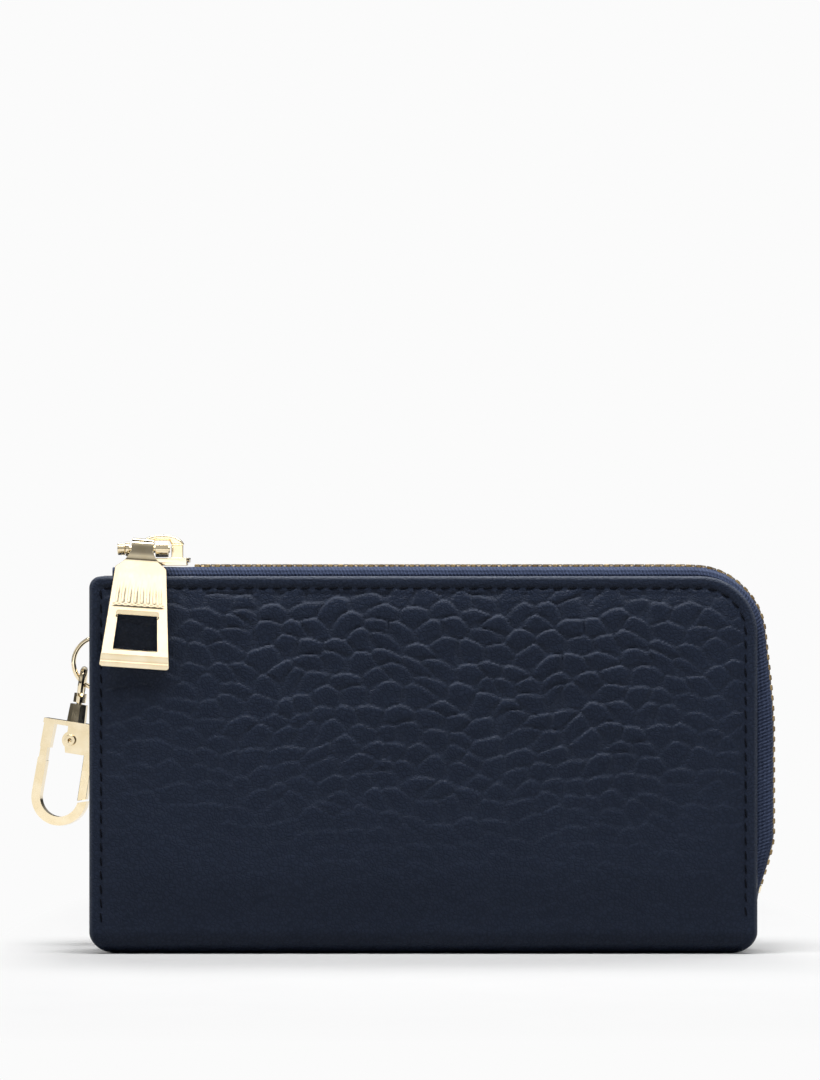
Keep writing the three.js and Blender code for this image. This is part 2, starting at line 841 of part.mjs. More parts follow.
function frontGroup() {
  const group = new THREE.Group();
  group.add(part('front_panel', frontPanel(), 'leather'));
  group.add(part('front_lining', liningSheet(-1), 'lining'));
  const { halfSpan, top, middle } = slipPocket;
  const slip = pocketSheet(-liningInnerY + pocketGap, halfSpan, top, middle);
  group.add(part('front_slip_pocket', slip, 'lining'));
  group.add(part('front_zip_tape', zipTape(-1), 'tape'));
  group.add(part('front_teeth', toothRow(-1), 'gold'));
  group.add(part('front_top_stop', topStop(-1), 'gold'));
  return group;
}

function pullerGroup() {
  const group = new THREE.Group();
  group.add(part('slider_body', sliderBody(), 'gold'));
  group.add(part('slider_crown', sliderCrown(), 'gold'));
  group.add(part('pull_link', pullLink(), 'gold'));
  group.add(part('pull_pin', pullPin(), 'gold'));
  const tab = part('pull_tab', pullTab(), 'gold');
  tab.position.set(knuckleX, pinY, pinZ);
  tab.rotation.y = tabTilt;
  group.add(tab);
  return group;
}

function claspGroup() {
  const group = new THREE.Group();
  const ring = part('split_ring', splitRing(), 'gold');
  ring.position.set(ringX, ringY, ringZ);
  group.add(ring);

  const hanging = new THREE.Group();
  hanging.position.set(claspX, claspY, claspZ);
  hanging.rotation.y = claspTilt;
  hanging.add(part('swivel_eye', swivelEye(), 'gold'));
  const turned = new THREE.Group();
  turned.rotation.z = claspYaw;
  turned.add(part('hook_body', hookBody(), 'gold'));
  turned.add(part('gate_pin', gatePin(), 'gold'));
  turned.add(part('gate_spring', gateSpring(), 'steel'));
  turned.add(part('gate_lever', gateLever(), 'gold'));
  hanging.add(turned);
  group.add(hanging);
  return group;
}

const cardHolder = new THREE.Group();
cardHolder.add(shellGroup(), frontGroup(), pullerGroup(), claspGroup());

export default cardHolder;
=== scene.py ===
import json
import math
import bpy
import numpy as np
from mathutils import Matrix, Vector


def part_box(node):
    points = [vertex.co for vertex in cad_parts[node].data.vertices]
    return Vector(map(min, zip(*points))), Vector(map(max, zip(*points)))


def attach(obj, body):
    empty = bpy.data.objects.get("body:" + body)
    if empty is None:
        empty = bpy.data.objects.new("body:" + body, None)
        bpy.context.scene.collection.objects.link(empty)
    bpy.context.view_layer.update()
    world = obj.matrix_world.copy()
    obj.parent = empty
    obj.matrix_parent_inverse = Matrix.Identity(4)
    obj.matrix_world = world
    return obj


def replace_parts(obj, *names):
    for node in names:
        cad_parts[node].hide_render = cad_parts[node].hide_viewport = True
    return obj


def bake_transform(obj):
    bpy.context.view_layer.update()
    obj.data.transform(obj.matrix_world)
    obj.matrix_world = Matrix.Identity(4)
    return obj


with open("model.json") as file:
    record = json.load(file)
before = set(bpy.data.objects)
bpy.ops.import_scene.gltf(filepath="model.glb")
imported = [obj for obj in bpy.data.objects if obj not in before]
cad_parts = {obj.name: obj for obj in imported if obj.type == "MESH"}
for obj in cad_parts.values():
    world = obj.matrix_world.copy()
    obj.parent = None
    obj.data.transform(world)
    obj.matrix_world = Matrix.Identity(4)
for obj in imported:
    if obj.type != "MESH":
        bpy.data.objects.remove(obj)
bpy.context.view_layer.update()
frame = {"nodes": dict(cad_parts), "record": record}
nodes = frame["nodes"]
mm = 0.001

# the wallet's own sizes in millimetres, read off the frame
frontLow, frontHigh = [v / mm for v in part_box("front_panel")]
wallet = {
    "halfWidth": frontHigh.x,
    "top": frontHigh.z,
    "halfDepth": -frontLow.y,
    "leather": 1.7,
    "foldRadius": 5.0,
    "zipCorner": 12.0,
    "topLeftCorner": 2.5,
    "bottomCorner": 4.5,
    "stitchInset": 2.5,
}


def setMode(mode):
    bpy.ops.object.mode_set(mode=mode)


def addToScene(thing):
    bpy.context.scene.collection.objects.link(thing)


def deselectAll():
    if bpy.context.object and bpy.context.object.mode != "OBJECT":
        setMode("OBJECT")
    bpy.ops.object.select_all(action="DESELECT")


def makeActive(piece):
    deselectAll()
    piece.select_set(True)
    bpy.context.view_layer.objects.active = piece


def nameIt(name):
    piece = bpy.context.object
    piece.name = name
    piece.data.name = name
    return piece


def applyModifier(piece, kind, **settings):
    makeActive(piece)
    modifier = piece.modifiers.new(kind.title(), kind)
    for key, value in settings.items():
        setattr(modifier, key, value)
    bpy.ops.object.modifier_apply(modifier=modifier.name)


def roundEdges(piece, width, segments=2, angle=50, **settings):
    applyModifier(piece, "BEVEL", width=width * mm, segments=segments, limit_method="ANGLE",
                  angle_limit=math.radians(angle), **settings)


def smoothByAngle(piece, angle=40):
    makeActive(piece)
    bpy.ops.object.shade_smooth_by_angle(angle=math.radians(angle))


def readPoints(piece):
    points = np.empty(len(piece.data.vertices) * 3)
    piece.data.vertices.foreach_get("co", points)
    return points.reshape(-1, 3)


def writePoints(piece, points):
    piece.data.vertices.foreach_set("co", np.asarray(points, float).ravel())
    piece.data.update()


def shapedGrid(name, across, along, place):
    # a grid whose points place(u, v) sets in millimetres; u and v run from 0 to 1
    deselectAll()
    bpy.ops.mesh.primitive_grid_add(x_subdivisions=across, y_subdivisions=along, size=1, location=(0, 0, 0))
    piece = nameIt(name)
    flat = readPoints(piece) + 0.5
    writePoints(piece, np.column_stack(place(flat[:, 0], flat[:, 1])) * mm)
    return piece


def recalculate(piece):
    makeActive(piece)
    setMode("EDIT")
    bpy.ops.mesh.select_all(action="SELECT")
    bpy.ops.mesh.remove_doubles(threshold=1e-6)
    bpy.ops.mesh.normals_make_consistent(inside=False)
    setMode("OBJECT")


def thicken(sheet, thickness, rounding, segments=2):
    # a sheet becomes a board with rounded edges
    applyModifier(sheet, "SOLIDIFY", thickness=thickness * mm, offset=0)
    roundEdges(sheet, rounding, segments)
    recalculate(sheet)
    smoothByAngle(sheet, 50)
    return sheet


def selectFaces(piece, wanted):
    # leaves edit mode on, with only the faces picked by wanted(face)
    makeActive(piece)
    setMode("EDIT")
    bpy.ops.mesh.select_mode(type="FACE")
    bpy.ops.mesh.select_all(action="DESELECT")
    setMode("OBJECT")
    for face in piece.data.polygons:
        face.select = bool(wanted(face))
    setMode("EDIT")


def setAttribute(piece, name, values):
    attribute = piece.data.attributes.new(name, "FLOAT", "POINT")
    attribute.data.foreach_set("value", np.asarray(values, np.float32))


def joinPieces(name, pieces):
    deselectAll()
    for piece in pieces:
        piece.select_set(True)
    bpy.context.view_layer.objects.active = pieces[0]
    bpy.ops.object.join()
    return nameIt(name)


def placedCopy(model, place, axes):
    # a copy at place in millimetres, its x, y and z turned to the three axes
    copy = model.copy()
    copy.data = model.data.copy()
    copy.data.transform(Matrix.Translation(Vector(place) * mm) @ Matrix(axes).transposed().to_4x4())
    addToScene(copy)
    return copy


def removePiece(piece):
    bpy.data.meshes.remove(piece.data)


def finishPiece(piece, material, body=None, stands=()):
    piece.data.materials.clear()
    piece.data.materials.append(material)
    if body:
        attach(piece, body)
    if stands:
        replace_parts(piece, *stands)
    return piece


def smoothstep(low, high, value):
    t = np.clip((value - low) / (high - low), 0, 1)
    return t * t * (3 - 2 * t)


# node helpers and shared effects


def addNode(tree, kind, values=None, **settings):
    made = tree.nodes.new(kind)
    for key, value in settings.items():
        setattr(made, key, value)
    for key, value in (values or {}).items():
        if isinstance(value, bpy.types.NodeSocket):
            tree.links.new(value, made.inputs[key])
        else:
            made.inputs[key].default_value = value
    return made


def useGroup(tree, group, values):
    return addNode(tree, "ShaderNodeGroup", values, node_tree=group)


def mathNode(tree, operation, first, second=0.0, third=0.0, clamp=False):
    values = {0: first, 1: second, 2: third}
    return addNode(tree, "ShaderNodeMath", values, operation=operation, use_clamp=clamp).outputs[0]


def multiply(tree, first, second):
    return mathNode(tree, "MULTIPLY", first, second)


def vectorMath(tree, operation, values):
    return addNode(tree, "ShaderNodeVectorMath", values, operation=operation).outputs


def noiseNode(tree, place, scale, detail=2.0):
    return addNode(tree, "ShaderNodeTexNoise", {"Vector": place, "Scale": scale, "Detail": detail}).outputs


def mixColour(tree, share, low, high):
    return addNode(tree, "ShaderNodeMix", {0: share, 6: low, 7: high}, data_type="RGBA").outputs[2]


def paintedOn(tree, name):
    return addNode(tree, "ShaderNodeAttribute", attribute_name=name).outputs["Fac"]


def rampNode(tree, factor, stops):
    ramp = addNode(tree, "ShaderNodeValToRGB", {0: factor})
    elements = ramp.color_ramp.elements
    while len(elements) < len(stops):
        elements.new(0.5)
    for element, (place, shade) in zip(elements, stops):
        element.position = place
        element.color = shade if isinstance(shade, tuple) else (shade, shade, shade, 1)
    return ramp.outputs[0]


def mapNode(tree, low, high, value, toLow=0.0, toHigh=1.0):
    values = {0: value, 1: low, 2: high, 3: toLow, 4: toHigh}
    return addNode(tree, "ShaderNodeMapRange", values).outputs[0]


def newGroup(name, inputs, outputs):
    group = bpy.data.node_groups.new(name, "ShaderNodeTree")
    for label, kind, value in inputs:
        socket = group.interface.new_socket(name=label, in_out="INPUT", socket_type=kind)
        if value is not None:
            socket.default_value = value
    for label in outputs:
        group.interface.new_socket(name=label, in_out="OUTPUT", socket_type="NodeSocketFloat")
    return group, group.nodes.new("NodeGroupInput").outputs, group.nodes.new("NodeGroupOutput")


def giveOut(group, end, values):
    for label, value in values.items():
        group.links.new(value, end.inputs[label])
    return group


grainLook = {"warpScale": 420.0, "warp": 0.0009, "cells": 900.0, "pores": 5200.0, "patches": 60.0}


def leatherGrainGroup():
    # fine pores and short creases; Height feeds a bump, Shade is painted shade that darkens the creases
    look = grainLook
    inputs = [("Vector", "NodeSocketVector", None), ("Size", "NodeSocketFloat", 1.0)]
    group, start, end = newGroup("leatherGrain", inputs, ["Height", "Shade", "Patch"])
    place = start["Vector"]
    warp = noiseNode(group, place, look["warpScale"])["Color"]
    shifted = vectorMath(group, "SUBTRACT", {0: warp, 1: (0.5, 0.5, 0.5)})[0]
    pushed = vectorMath(group, "SCALE", {0: shifted, "Scale": look["warp"]})[0]
    moved = vectorMath(group, "ADD", {0: place, 1: pushed})[0]
    cellScale = mathNode(group, "DIVIDE", look["cells"], start["Size"])
    cells = addNode(
        group, "ShaderNodeTexVoronoi", {"Vector": moved, "Scale": cellScale}, feature="DISTANCE_TO_EDGE"
    ).outputs["Distance"]
    crease = mapNode(group, 0.0, 0.22, cells)
    pores = noiseNode(group, place, look["pores"], 3.0)[0]
    return giveOut(group, end, {
        "Height": mathNode(group, "ADD", multiply(group, crease, 0.7), multiply(group, pores, 0.3)),
        "Shade": mapNode(group, 0.0, 1.0, crease, 0.55, 1.0),
        "Patch": noiseNode(group, place, look["patches"], 3.0)[0],
    })


wearLook = {
    "stretch": (1.0, 1.0, 0.06),
    "lines": 9000.0,
    "smudges": 350.0,
    "smudgeShare": 0.6,
    "lineShare": 0.4,
}


def metalWearGroup():
    # fine hairline scratches and handling smudges for plated metal
    look = wearLook
    inputs = [
        ("Vector", "NodeSocketVector", None),
        ("Smooth", "NodeSocketFloat", 0.1),
        ("Worn", "NodeSocketFloat", 0.3),
    ]
    group, start, end = newGroup("metalWear", inputs, ["Roughness", "Height", "Tone"])
    place = start["Vector"]
    stretched = addNode(group, "ShaderNodeMapping", {"Vector": place, "Scale": look["stretch"]}).outputs[0]
    lines = noiseNode(group, stretched, look["lines"])[0]
    smudge = noiseNode(group, place, look["smudges"], 4.0)[0]
    smudged = multiply(group, mapNode(group, 0.35, 0.75, smudge), look["smudgeShare"])
    lined = multiply(group, mapNode(group, 0.62, 0.75, lines), look["lineShare"])
    spread = mathNode(group, "SUBTRACT", start["Worn"], start["Smooth"])
    amount = mathNode(group, "ADD", smudged, lined)
    return giveOut(group, end, {
        "Roughness": mathNode(group, "MULTIPLY_ADD", spread, amount, start["Smooth"]),
        "Height": lines,
        "Tone": smudge,
    })


def weaveGroup():
    # diagonal twill on a flat pattern of threads; U and V are counted in threads; Shade is painted shade,
    # darker in the low parts between threads
    inputs = [("Vector", "NodeSocketVector", None), ("Threads", "NodeSocketVector", (1.0, 1.0, 1.0))]
    group, start, end = newGroup("twillWeave", inputs, ["Height", "Shade"])
    counted = vectorMath(group, "MULTIPLY", {0: start["Vector"], 1: start["Threads"]})[0]
    parts = addNode(group, "ShaderNodeSeparateXYZ", {0: counted}).outputs
    warpWave = mathNode(group, "SINE", multiply(group, parts[0], math.tau))
    diagonal = mathNode(group, "ADD", multiply(group, parts[0], 0.5), parts[1])
    weftWave = mathNode(group, "SINE", multiply(group, diagonal, math.tau))
    weft = mathNode(group, "MULTIPLY_ADD", weftWave, 0.28, 0.5)
    height = mathNode(group, "MULTIPLY_ADD", warpWave, 0.22, weft)
    fuzz = noiseNode(group, counted, 1.7, 3.0)[0]
    fuzzy = mathNode(group, "ADD", height, multiply(group, fuzz, 0.4))
    return giveOut(group, end, {
        "Height": mathNode(group, "MULTIPLY_ADD", fuzz, 0.3, height),
        "Shade": mapNode(group, 0.1, 1.1, fuzzy, 0.55, 1.15),
    })


leatherGrain = leatherGrainGroup()
metalWear = metalWearGroup()
twillWeave = weaveGroup()


def newMaterial(name, **shaderValues):
    material = bpy.data.materials.new(name)
    material.use_nodes = True
    tree = material.node_tree
    shader = tree.nodes["Principled BSDF"]
    for key, value in shaderValues.items():
        shader.inputs[key].default_value = value
    return material, tree, shader


def objectCoordinates(tree):
    return addNode(tree, "ShaderNodeTexCoord").outputs["Object"]


def finishLook(tree, shader, colour, rough, height, bump):
    raised = addNode(tree, "ShaderNodeBump", {"Height": height, "Distance": bump, "Strength": 1.0})
    for name, value in (("Base Color", colour), ("Roughness", rough), ("Normal", raised.outputs[0])):
        if isinstance(value, bpy.types.NodeSocket):
            tree.links.new(value, shader.inputs[name])
        else:
            shader.inputs[name].default_value = value


leatherShine = 0.16
pebbledLook = {
    "dark": (0.012, 0.0175, 0.034, 1),
    "light": (0.030, 0.043, 0.080, 1),
    # a painted highlight colour for the pebbles' rims
    "rimHighlight": (0.088, 0.108, 0.158, 1),
    "roughness": (0.40, 0.58),
    "fineBump": 0.00009,
    # edge paint, made lighter than the leather so it also carries a painted highlight along the rolled
    # edges
    "edgePaintAndHighlight": (0.075, 0.092, 0.135, 1),
}


def pebbledLeather():
    look = pebbledLook
    material, tree, shader = newMaterial("pebbledLeather", **{"Specular IOR Level": leatherShine})
    grain = useGroup(tree, leatherGrain, {"Vector": objectCoordinates(tree), "Size": 0.75}).outputs
    # the pebble attribute darkens the creases between pebbles: painted shade
    shade = multiply(tree, grain["Shade"], mapNode(tree, 0.0, 1.0, paintedOn(tree, "pebble"), 0.45, 1.0))
    tone = multiply(tree, shade, mapNode(tree, 0.3, 0.7, grain["Patch"], 0.85, 1.1))
    edge = paintedOn(tree, "edge")
    dyedAndCreaseShaded = mixColour(tree, tone, look["dark"], look["light"])
    # lighter pebble rims: a painted highlight, strongest on the upper rims
    wearAndRimHighlight = mixColour(tree, paintedOn(tree, "rimHighlight"), dyedAndCreaseShaded, look["rimHighlight"])
    # rolled edges: real edge paint, lightened as a painted highlight
    painted = mixColour(tree, edge, wearAndRimHighlight, look["edgePaintAndHighlight"])
    low, high = look["roughness"]
    dull = mapNode(tree, 0.0, 1.0, tone, high, low)
    rough = multiply(tree, dull, mapNode(tree, 0.0, 1.0, edge, 1.0, 0.7))
    finishLook(tree, shader, painted, rough, grain["Height"], look["fineBump"])
    return material


def smoothLeather(name, dark, light, size=0.5):
    material, tree, shader = newMaterial(name, **{"Specular IOR Level": leatherShine})
    grain = useGroup(tree, leatherGrain, {"Vector": objectCoordinates(tree), "Size": size}).outputs
    tone = multiply(tree, grain["Shade"], mapNode(tree, 0.3, 0.7, grain["Patch"], 0.8, 1.1))
    rough = mapNode(tree, 0.5, 1.0, tone, 0.6, 0.42)
    finishLook(tree, shader, mixColour(tree, tone, dark, light), rough, grain["Height"], 0.00006)
    return material


def wovenCloth(name, dark, light, threads, sheen, bump):
    material, tree, shader = newMaterial(name, **{"Specular IOR Level": 0.25, "Sheen Weight": sheen})
    place = addNode(tree, "ShaderNodeTexCoord").outputs["UV"]
    weave = useGroup(tree, twillWeave, {"Vector": place, "Threads": threads}).outputs
    patch = noiseNode(tree, objectCoordinates(tree), 90.0, 3.0)[0]
    tone = multiply(tree, weave["Shade"], mapNode(tree, 0.3, 0.7, patch, 0.8, 1.1))
    rough = mapNode(tree, 0.4, 1.1, tone, 0.9, 0.72)
    finishLook(tree, shader, mixColour(tree, tone, dark, light), rough, weave["Height"], bump)
    return material


def platedMetal(name, dull, bright, smooth, wearAndRimHighlight):
    material, tree, shader = newMaterial(name, Metallic=1.0)
    values = {"Vector": objectCoordinates(tree), "Smooth": smooth, "Worn": wearAndRimHighlight}
    wear = useGroup(tree, metalWear, values).outputs
    colour = mixColour(tree, mapNode(tree, 0.35, 0.65, wear["Tone"]), dull, bright)
    finishLook(tree, shader, colour, wear["Roughness"], wear["Height"], 0.000004)
    return material


threadLook = {"dark": (0.0025, 0.0035, 0.007, 1), "light": (0.008, 0.011, 0.021, 1), "twist": 1400.0}


def sewingThread():
    look = threadLook
    material, tree, shader = newMaterial("sewingThread", **{"Specular IOR Level": 0.12})
    values = {"Vector": objectCoordinates(tree), "Scale": look["twist"], "Distortion": 1.0}
    twist = addNode(tree, "ShaderNodeTexWave", values, bands_direction="DIAGONAL").outputs["Fac"]
    # darker in the grooves of the twist, following its bump: painted shade
    shade = rampNode(tree, twist, [(0.0, look["dark"]), (1.0, look["light"])])
    finishLook(tree, shader, shade, 0.7, twist, 0.00006)
    return material


leatherMaterial = pebbledLeather()
stripMaterial = smoothLeather("smoothLeather", (0.006, 0.008, 0.016, 1), (0.014, 0.019, 0.035, 1))
pocketMaterial = smoothLeather("pocketLeather", (0.008, 0.0105, 0.019, 1), (0.02, 0.026, 0.044, 1), 0.7)
liningMaterial = wovenCloth(
    "liningCloth", (0.012, 0.015, 0.024, 1), (0.035, 0.042, 0.062, 1), (160.0, 110.0, 1.0), 0.3, 0.00008
)
tapeMaterial = wovenCloth(
    "zipTapeWeave", (0.010, 0.014, 0.034, 1), (0.082, 0.112, 0.21, 1), (16.0, 270.0, 1.0), 0.06, 0.00022
)
threadMaterial = sewingThread()
goldMaterial = platedMetal("polishedGold", (0.92, 0.77, 0.51, 1), (0.97, 0.84, 0.60, 1), 0.07, 0.13)
# the teeth's gold is darkened all over: painted shade standing in for the dark surroundings they reflect
shadedTeethMaterial = platedMetal("zipTeethShadedGold", (0.16, 0.105, 0.05, 1), (0.46, 0.34, 0.17, 1), 0.18, 0.4)
steelMaterial = platedMetal("springSteel", (0.35, 0.34, 0.32, 1), (0.6, 0.59, 0.56, 1), 0.22, 0.4)
print("materials made")


# camera, light and floor

cameraPlan = {"x": -2.8, "z": 87.0, "distance": 1260.0, "lens": 200.0}


def makeCamera():
    plan = cameraPlan
    data = bpy.data.cameras.new("camera")
    data.lens = plan["lens"]
    data.clip_start, data.clip_end = 0.05, 20
    camera = bpy.data.objects.new("camera", data)
    addToScene(camera)
    camera.location = Vector((plan["x"], -wallet["halfDepth"] - plan["distance"], plan["z"])) * mm
    camera.rotation_euler = (math.radians(90), 0, 0)
    bpy.context.scene.camera = camera


def makeLight(name, place, target, size, power):
    data = bpy.data.lights.new(name, "AREA")
    data.shape = "RECTANGLE"
    data.size, data.size_y = size
    data.energy = power
    light = bpy.data.objects.new(name, data)
    light.visible_camera = False
    light.visible_diffuse = not name.endswith("Card")
    addToScene(light)
    light.location = place
    light.rotation_euler = (Vector(target) - Vector(place)).to_track_quat("-Z", "Y").to_euler()


lightPlan = {
    "topSoftbox": ((0.0, -0.15, 0.55), (0, 0, 0.05), (0.7, 0.16), 3.0),
    "cameraCard": ((-0.11, -1.4, 0.05), (-0.05, 0, 0.05), (0.6, 0.28), 0.56),
    "claspCard": ((-0.66, -1.2, 0.03), (-0.075, 0, 0.05), (0.36, 0.3), 0.27),
    "leftStrip": ((-0.6, -0.1, 0.22), (-0.05, 0, 0.05), (0.1, 0.4), 0.22),
    "rightStrip": ((0.6, -0.05, 0.25), (0.05, 0, 0.05), (0.1, 0.4), 0.06),
    "backLight": ((0.1, 0.3, 0.6), (0, 0, 0.05), (0.7, 0.2), 2.2),
}
backdropWhite = 0.965
skyTint = (0.86, 0.92, 1.0, 1)
roomShades = [
    (0.0, 0.5), (0.2, 0.6), (0.26, 0.04), (0.34, 0.1), (0.48, 0.6), (0.66, 0.75), (0.8, 0.3), (1.0, 0.1)
]
floorFade = {"start": 0.02, "end": 0.115, "halfLength": 0.07, "aside": 5.0, "ahead": 0.5, "mirrored": 0.7}


def mixShaders(tree, share, first, second):
    mix = addNode(tree, "ShaderNodeMixShader", {0: share})
    tree.links.new(first.outputs[0], mix.inputs[1])
    tree.links.new(second.outputs[0], mix.inputs[2])
    return mix


def makeStudio():
    world = bpy.data.worlds.new("studio")
    bpy.context.scene.world = world
    world.use_nodes = True
    tree = world.node_tree
    background = tree.nodes["Background"]
    background.inputs["Color"].default_value = skyTint
    background.inputs["Strength"].default_value = 0.05
    direction = addNode(tree, "ShaderNodeTexCoord").outputs["Generated"]
    height = addNode(tree, "ShaderNodeSeparateXYZ", {0: direction}).outputs[2]
    mirrored = rampNode(tree, mapNode(tree, -0.3, 1.0, height), roomShades)
    room = addNode(tree, "ShaderNodeBackground", {"Color": mirrored, "Strength": 0.8})
    seen = addNode(tree, "ShaderNodeBackground", {"Color": (1, 1, 1, 1), "Strength": backdropWhite})
    path = addNode(tree, "ShaderNodeLightPath").outputs
    glossy = mixShaders(tree, path["Is Glossy Ray"], background, room)
    mix = mixShaders(tree, path["Is Camera Ray"], glossy, seen)
    tree.links.new(mix.outputs[0], tree.nodes["World Output"].inputs[0])
    for name, (place, target, size, power) in lightPlan.items():
        makeLight(name, place, target, size, power)
    bpy.context.scene.view_settings.view_transform = "Standard"


def makeFloor():
    deselectAll()
    bpy.ops.mesh.primitive_plane_add(size=60, location=(0, 0, 0))
    floor = nameIt("studioFloor")
    material, tree, shader = newMaterial("paleFloor", **{"Roughness": 0.9, "Specular IOR Level": 0.0})
    fade = floorFade
    place = objectCoordinates(tree)
    parts = addNode(tree, "ShaderNodeSeparateXYZ", {0: place}).outputs
    past = mathNode(tree, "SUBTRACT", mathNode(tree, "ABSOLUTE", parts[0]), fade["halfLength"])
    aside = multiply(tree, mathNode(tree, "MAXIMUM", past, 0.0), fade["aside"])
    around = addNode(tree, "ShaderNodeCombineXYZ", {0: aside, 1: multiply(tree, parts[1], fade["ahead"])})
    away = vectorMath(tree, "LENGTH", {0: around.outputs[0]})["Value"]
    path = addNode(tree, "ShaderNodeLightPath").outputs
    white = mapNode(tree, 0.0, 1.0, noiseNode(tree, place, 40.0)[0], 0.84, 0.88)
    dimmed = mapNode(tree, 0.0, 1.0, path["Is Diffuse Ray"], 1.0, 0.3)
    tree.links.new(multiply(tree, white, dimmed), shader.inputs["Base Color"])
    shown = mathNode(
        tree, "MULTIPLY_ADD", path["Is Glossy Ray"], fade["mirrored"], path["Is Camera Ray"], clamp=True
    )
    far = multiply(tree, mapNode(tree, fade["start"], fade["end"], away), shown)
    seen = addNode(tree, "ShaderNodeEmission", {"Color": (1, 1, 1, 1), "Strength": backdropWhite})
    mix = mixShaders(tree, far, shader, seen)
    tree.links.new(mix.outputs[0], tree.nodes["Material Output"].inputs[0])
    floor.data.materials.append(material)


makeCamera()
makeStudio()
makeFloor()
print("studio made")


# the wallet's outline and the leather skins


def cornerCut(radius, past):
    # how far a round corner draws the side in, past millimetres beyond its start
    past = np.clip(past, 0, radius)
    return radius - np.sqrt(np.maximum(radius**2 - past**2, 0))


def rowEnds(z):
    bottom = cornerCut(wallet["bottomCorner"], wallet["bottomCorner"] - z)
    ends = []
    for corner in ("topLeftCorner", "zipCorner"):
        radius = wallet[corner]
        ends.append(wallet["halfWidth"] - bottom - cornerCut(radius, z - wallet["top"] + radius))
    return -ends[0], ends[1]


def edgeDistance(x, z):
    # distance in from the left, top and right edges; the folded bottom isn't an edge
    bottom = cornerCut(wallet["bottomCorner"], wallet["bottomCorner"] - z)
    sides = wallet["halfWidth"] - bottom - np.abs(x)
    distance = np.minimum(sides, wallet["top"] - z)
    for sign, radius in ((1, wallet["zipCorner"]), (-1, wallet["topLeftCorner"])):
        across = sign * x - (wallet["halfWidth"] - radius)
        up = z - (wallet["top"] - radius)
        inCorner = (across > 0) & (up > 0)
        distance = np.where(inCorner, radius - np.hypot(across, up), distance)
    return np.maximum(distance, 0)


def profileAt(run, side, offset=0.0):
    # run is the length from the middle of the base, round the fold and up the face
    foldY = wallet["halfDepth"] - wallet["foldRadius"]
    turned = np.clip((run - foldY) / wallet["foldRadius"], 0, math.pi / 2)
    past = np.maximum(run - foldY - wallet["foldRadius"] * math.pi / 2, 0)
    flat = np.minimum(run, foldY)
    radius = wallet["foldRadius"] + offset
    y = flat + radius * np.sin(turned)
    z = wallet["foldRadius"] - radius * np.cos(turned) + past
    return side * y, z


def lineUp(spacing, share):
    return np.interp(share, np.linspace(0, 1, len(spacing)), spacing)


def closeAtEnds(length, count, ends, close=1.1, closeCount=6):
    # count + 1 places along a length, close together at the named ends
    at, places = [0, count], [0.0, length]
    if "start" in ends:
        at.insert(1, closeCount)
        places.insert(1, close)
    if "end" in ends:
        at.insert(-1, count - closeCount)
        places.insert(-1, length - close)
    return np.interp(np.arange(count + 1), at, places)


grainPlan = {
    "long": 5.7,
    "tall": 3.7,
    "depth": 1.2,
    "fineShare": 0.1,
    "fineSize": 0.3,
    "seed": 11,
    "reach": 0.24,
    "dome": 0.75,
    "tilt": 0.6,
    "arch": 0.45,
    "spread": (0.14, 0.86),
    "tops": (0.68, 1.0),
    "rimAt": 0.09,
    "rimWidth": 0.08,
    "rimBelow": 0.25,
}


def cellPattern(a, b, random):
    # distances to the nearest two jittered cells, the nearest one's height and how far above its middle
    jitter = random.uniform(*grainPlan["spread"], (64, 64, 2))
    lift = random.uniform(*grainPlan["tops"], (64, 64))
    near, second = np.full((2, *a.shape), 9.0)
    height, above = np.zeros((2, *a.shape))
    for i in (-1, 0, 1):
        for j in (-1, 0, 1):
            cellB = np.floor(b).astype(int) + j
            offset = 0.5 * (cellB % 2)
            cellA = np.floor(a - offset).astype(int) + i
            spot = jitter[cellA % 64, cellB % 64]
            over = b - cellB - spot[:, 1]
            away = np.hypot(a - offset - cellA - spot[:, 0], over) + grainPlan["arch"] * over
            closer = away < near
            second = np.where(closer, near, np.minimum(second, away))
            height = np.where(closer, lift[cellA % 64, cellB % 64], height)
            above = np.where(closer, over, above)
            near = np.where(closer, away, near)
    return near, second, height, above


def pebbleHeight(x, run, seed):
    # 0 in the creases, rising over a round shoulder to each pebble's own top; then a painted highlight
    # along the pebbles' rims, strongest on their upper rims where the top light falls
    plan = grainPlan
    random = np.random.default_rng(seed)
    bend = 0.3 * np.sin(run / 6.1 + 1.3) + 0.15 * np.sin(run / 2.7 + x / 9.0)
    a = x / plan["long"] + bend + 20
    b = run / plan["tall"] + 0.4 * np.sin(x / 8.3) + 0.16 * np.sin(x / 2.9 + run / 5.0) + 4
    near, second, top, above = cellPattern(a, b, random)
    gap = second - near
    edge = np.clip(gap / plan["reach"], 0, 1)
    dome = np.clip(gap / plan["dome"], 0, 1)
    leaning = np.clip(0.78 + plan["tilt"] * above, 0.4, 1.2)
    shoulder = (0.68 * (1 - (1 - edge) ** 1.6) + 0.32 * np.sqrt(dome)) * leaning
    upper = plan["rimBelow"] + (1 - plan["rimBelow"]) * smoothstep(-0.1, 0.4, above)
    # a painted highlight band just inside each crease: full on a pebble's upper side, a quarter as strong
    # on its lower side
    rimHighlight = np.exp(-(((gap - plan["rimAt"]) / plan["rimWidth"]) ** 2)) * upper
    fine = plan["fineSize"]
    fineNear, fineSecond, fineTop = cellPattern(a / fine + 2 * near, b / fine + 7, random)[:3]
    wrinkle = np.clip((fineSecond - fineNear) / 0.5, 0, 1) * fineTop
    share = plan["fineShare"]
    return shoulder * top * (1 - share) + share * wrinkle * (0.4 + 0.6 * shoulder), rimHighlight


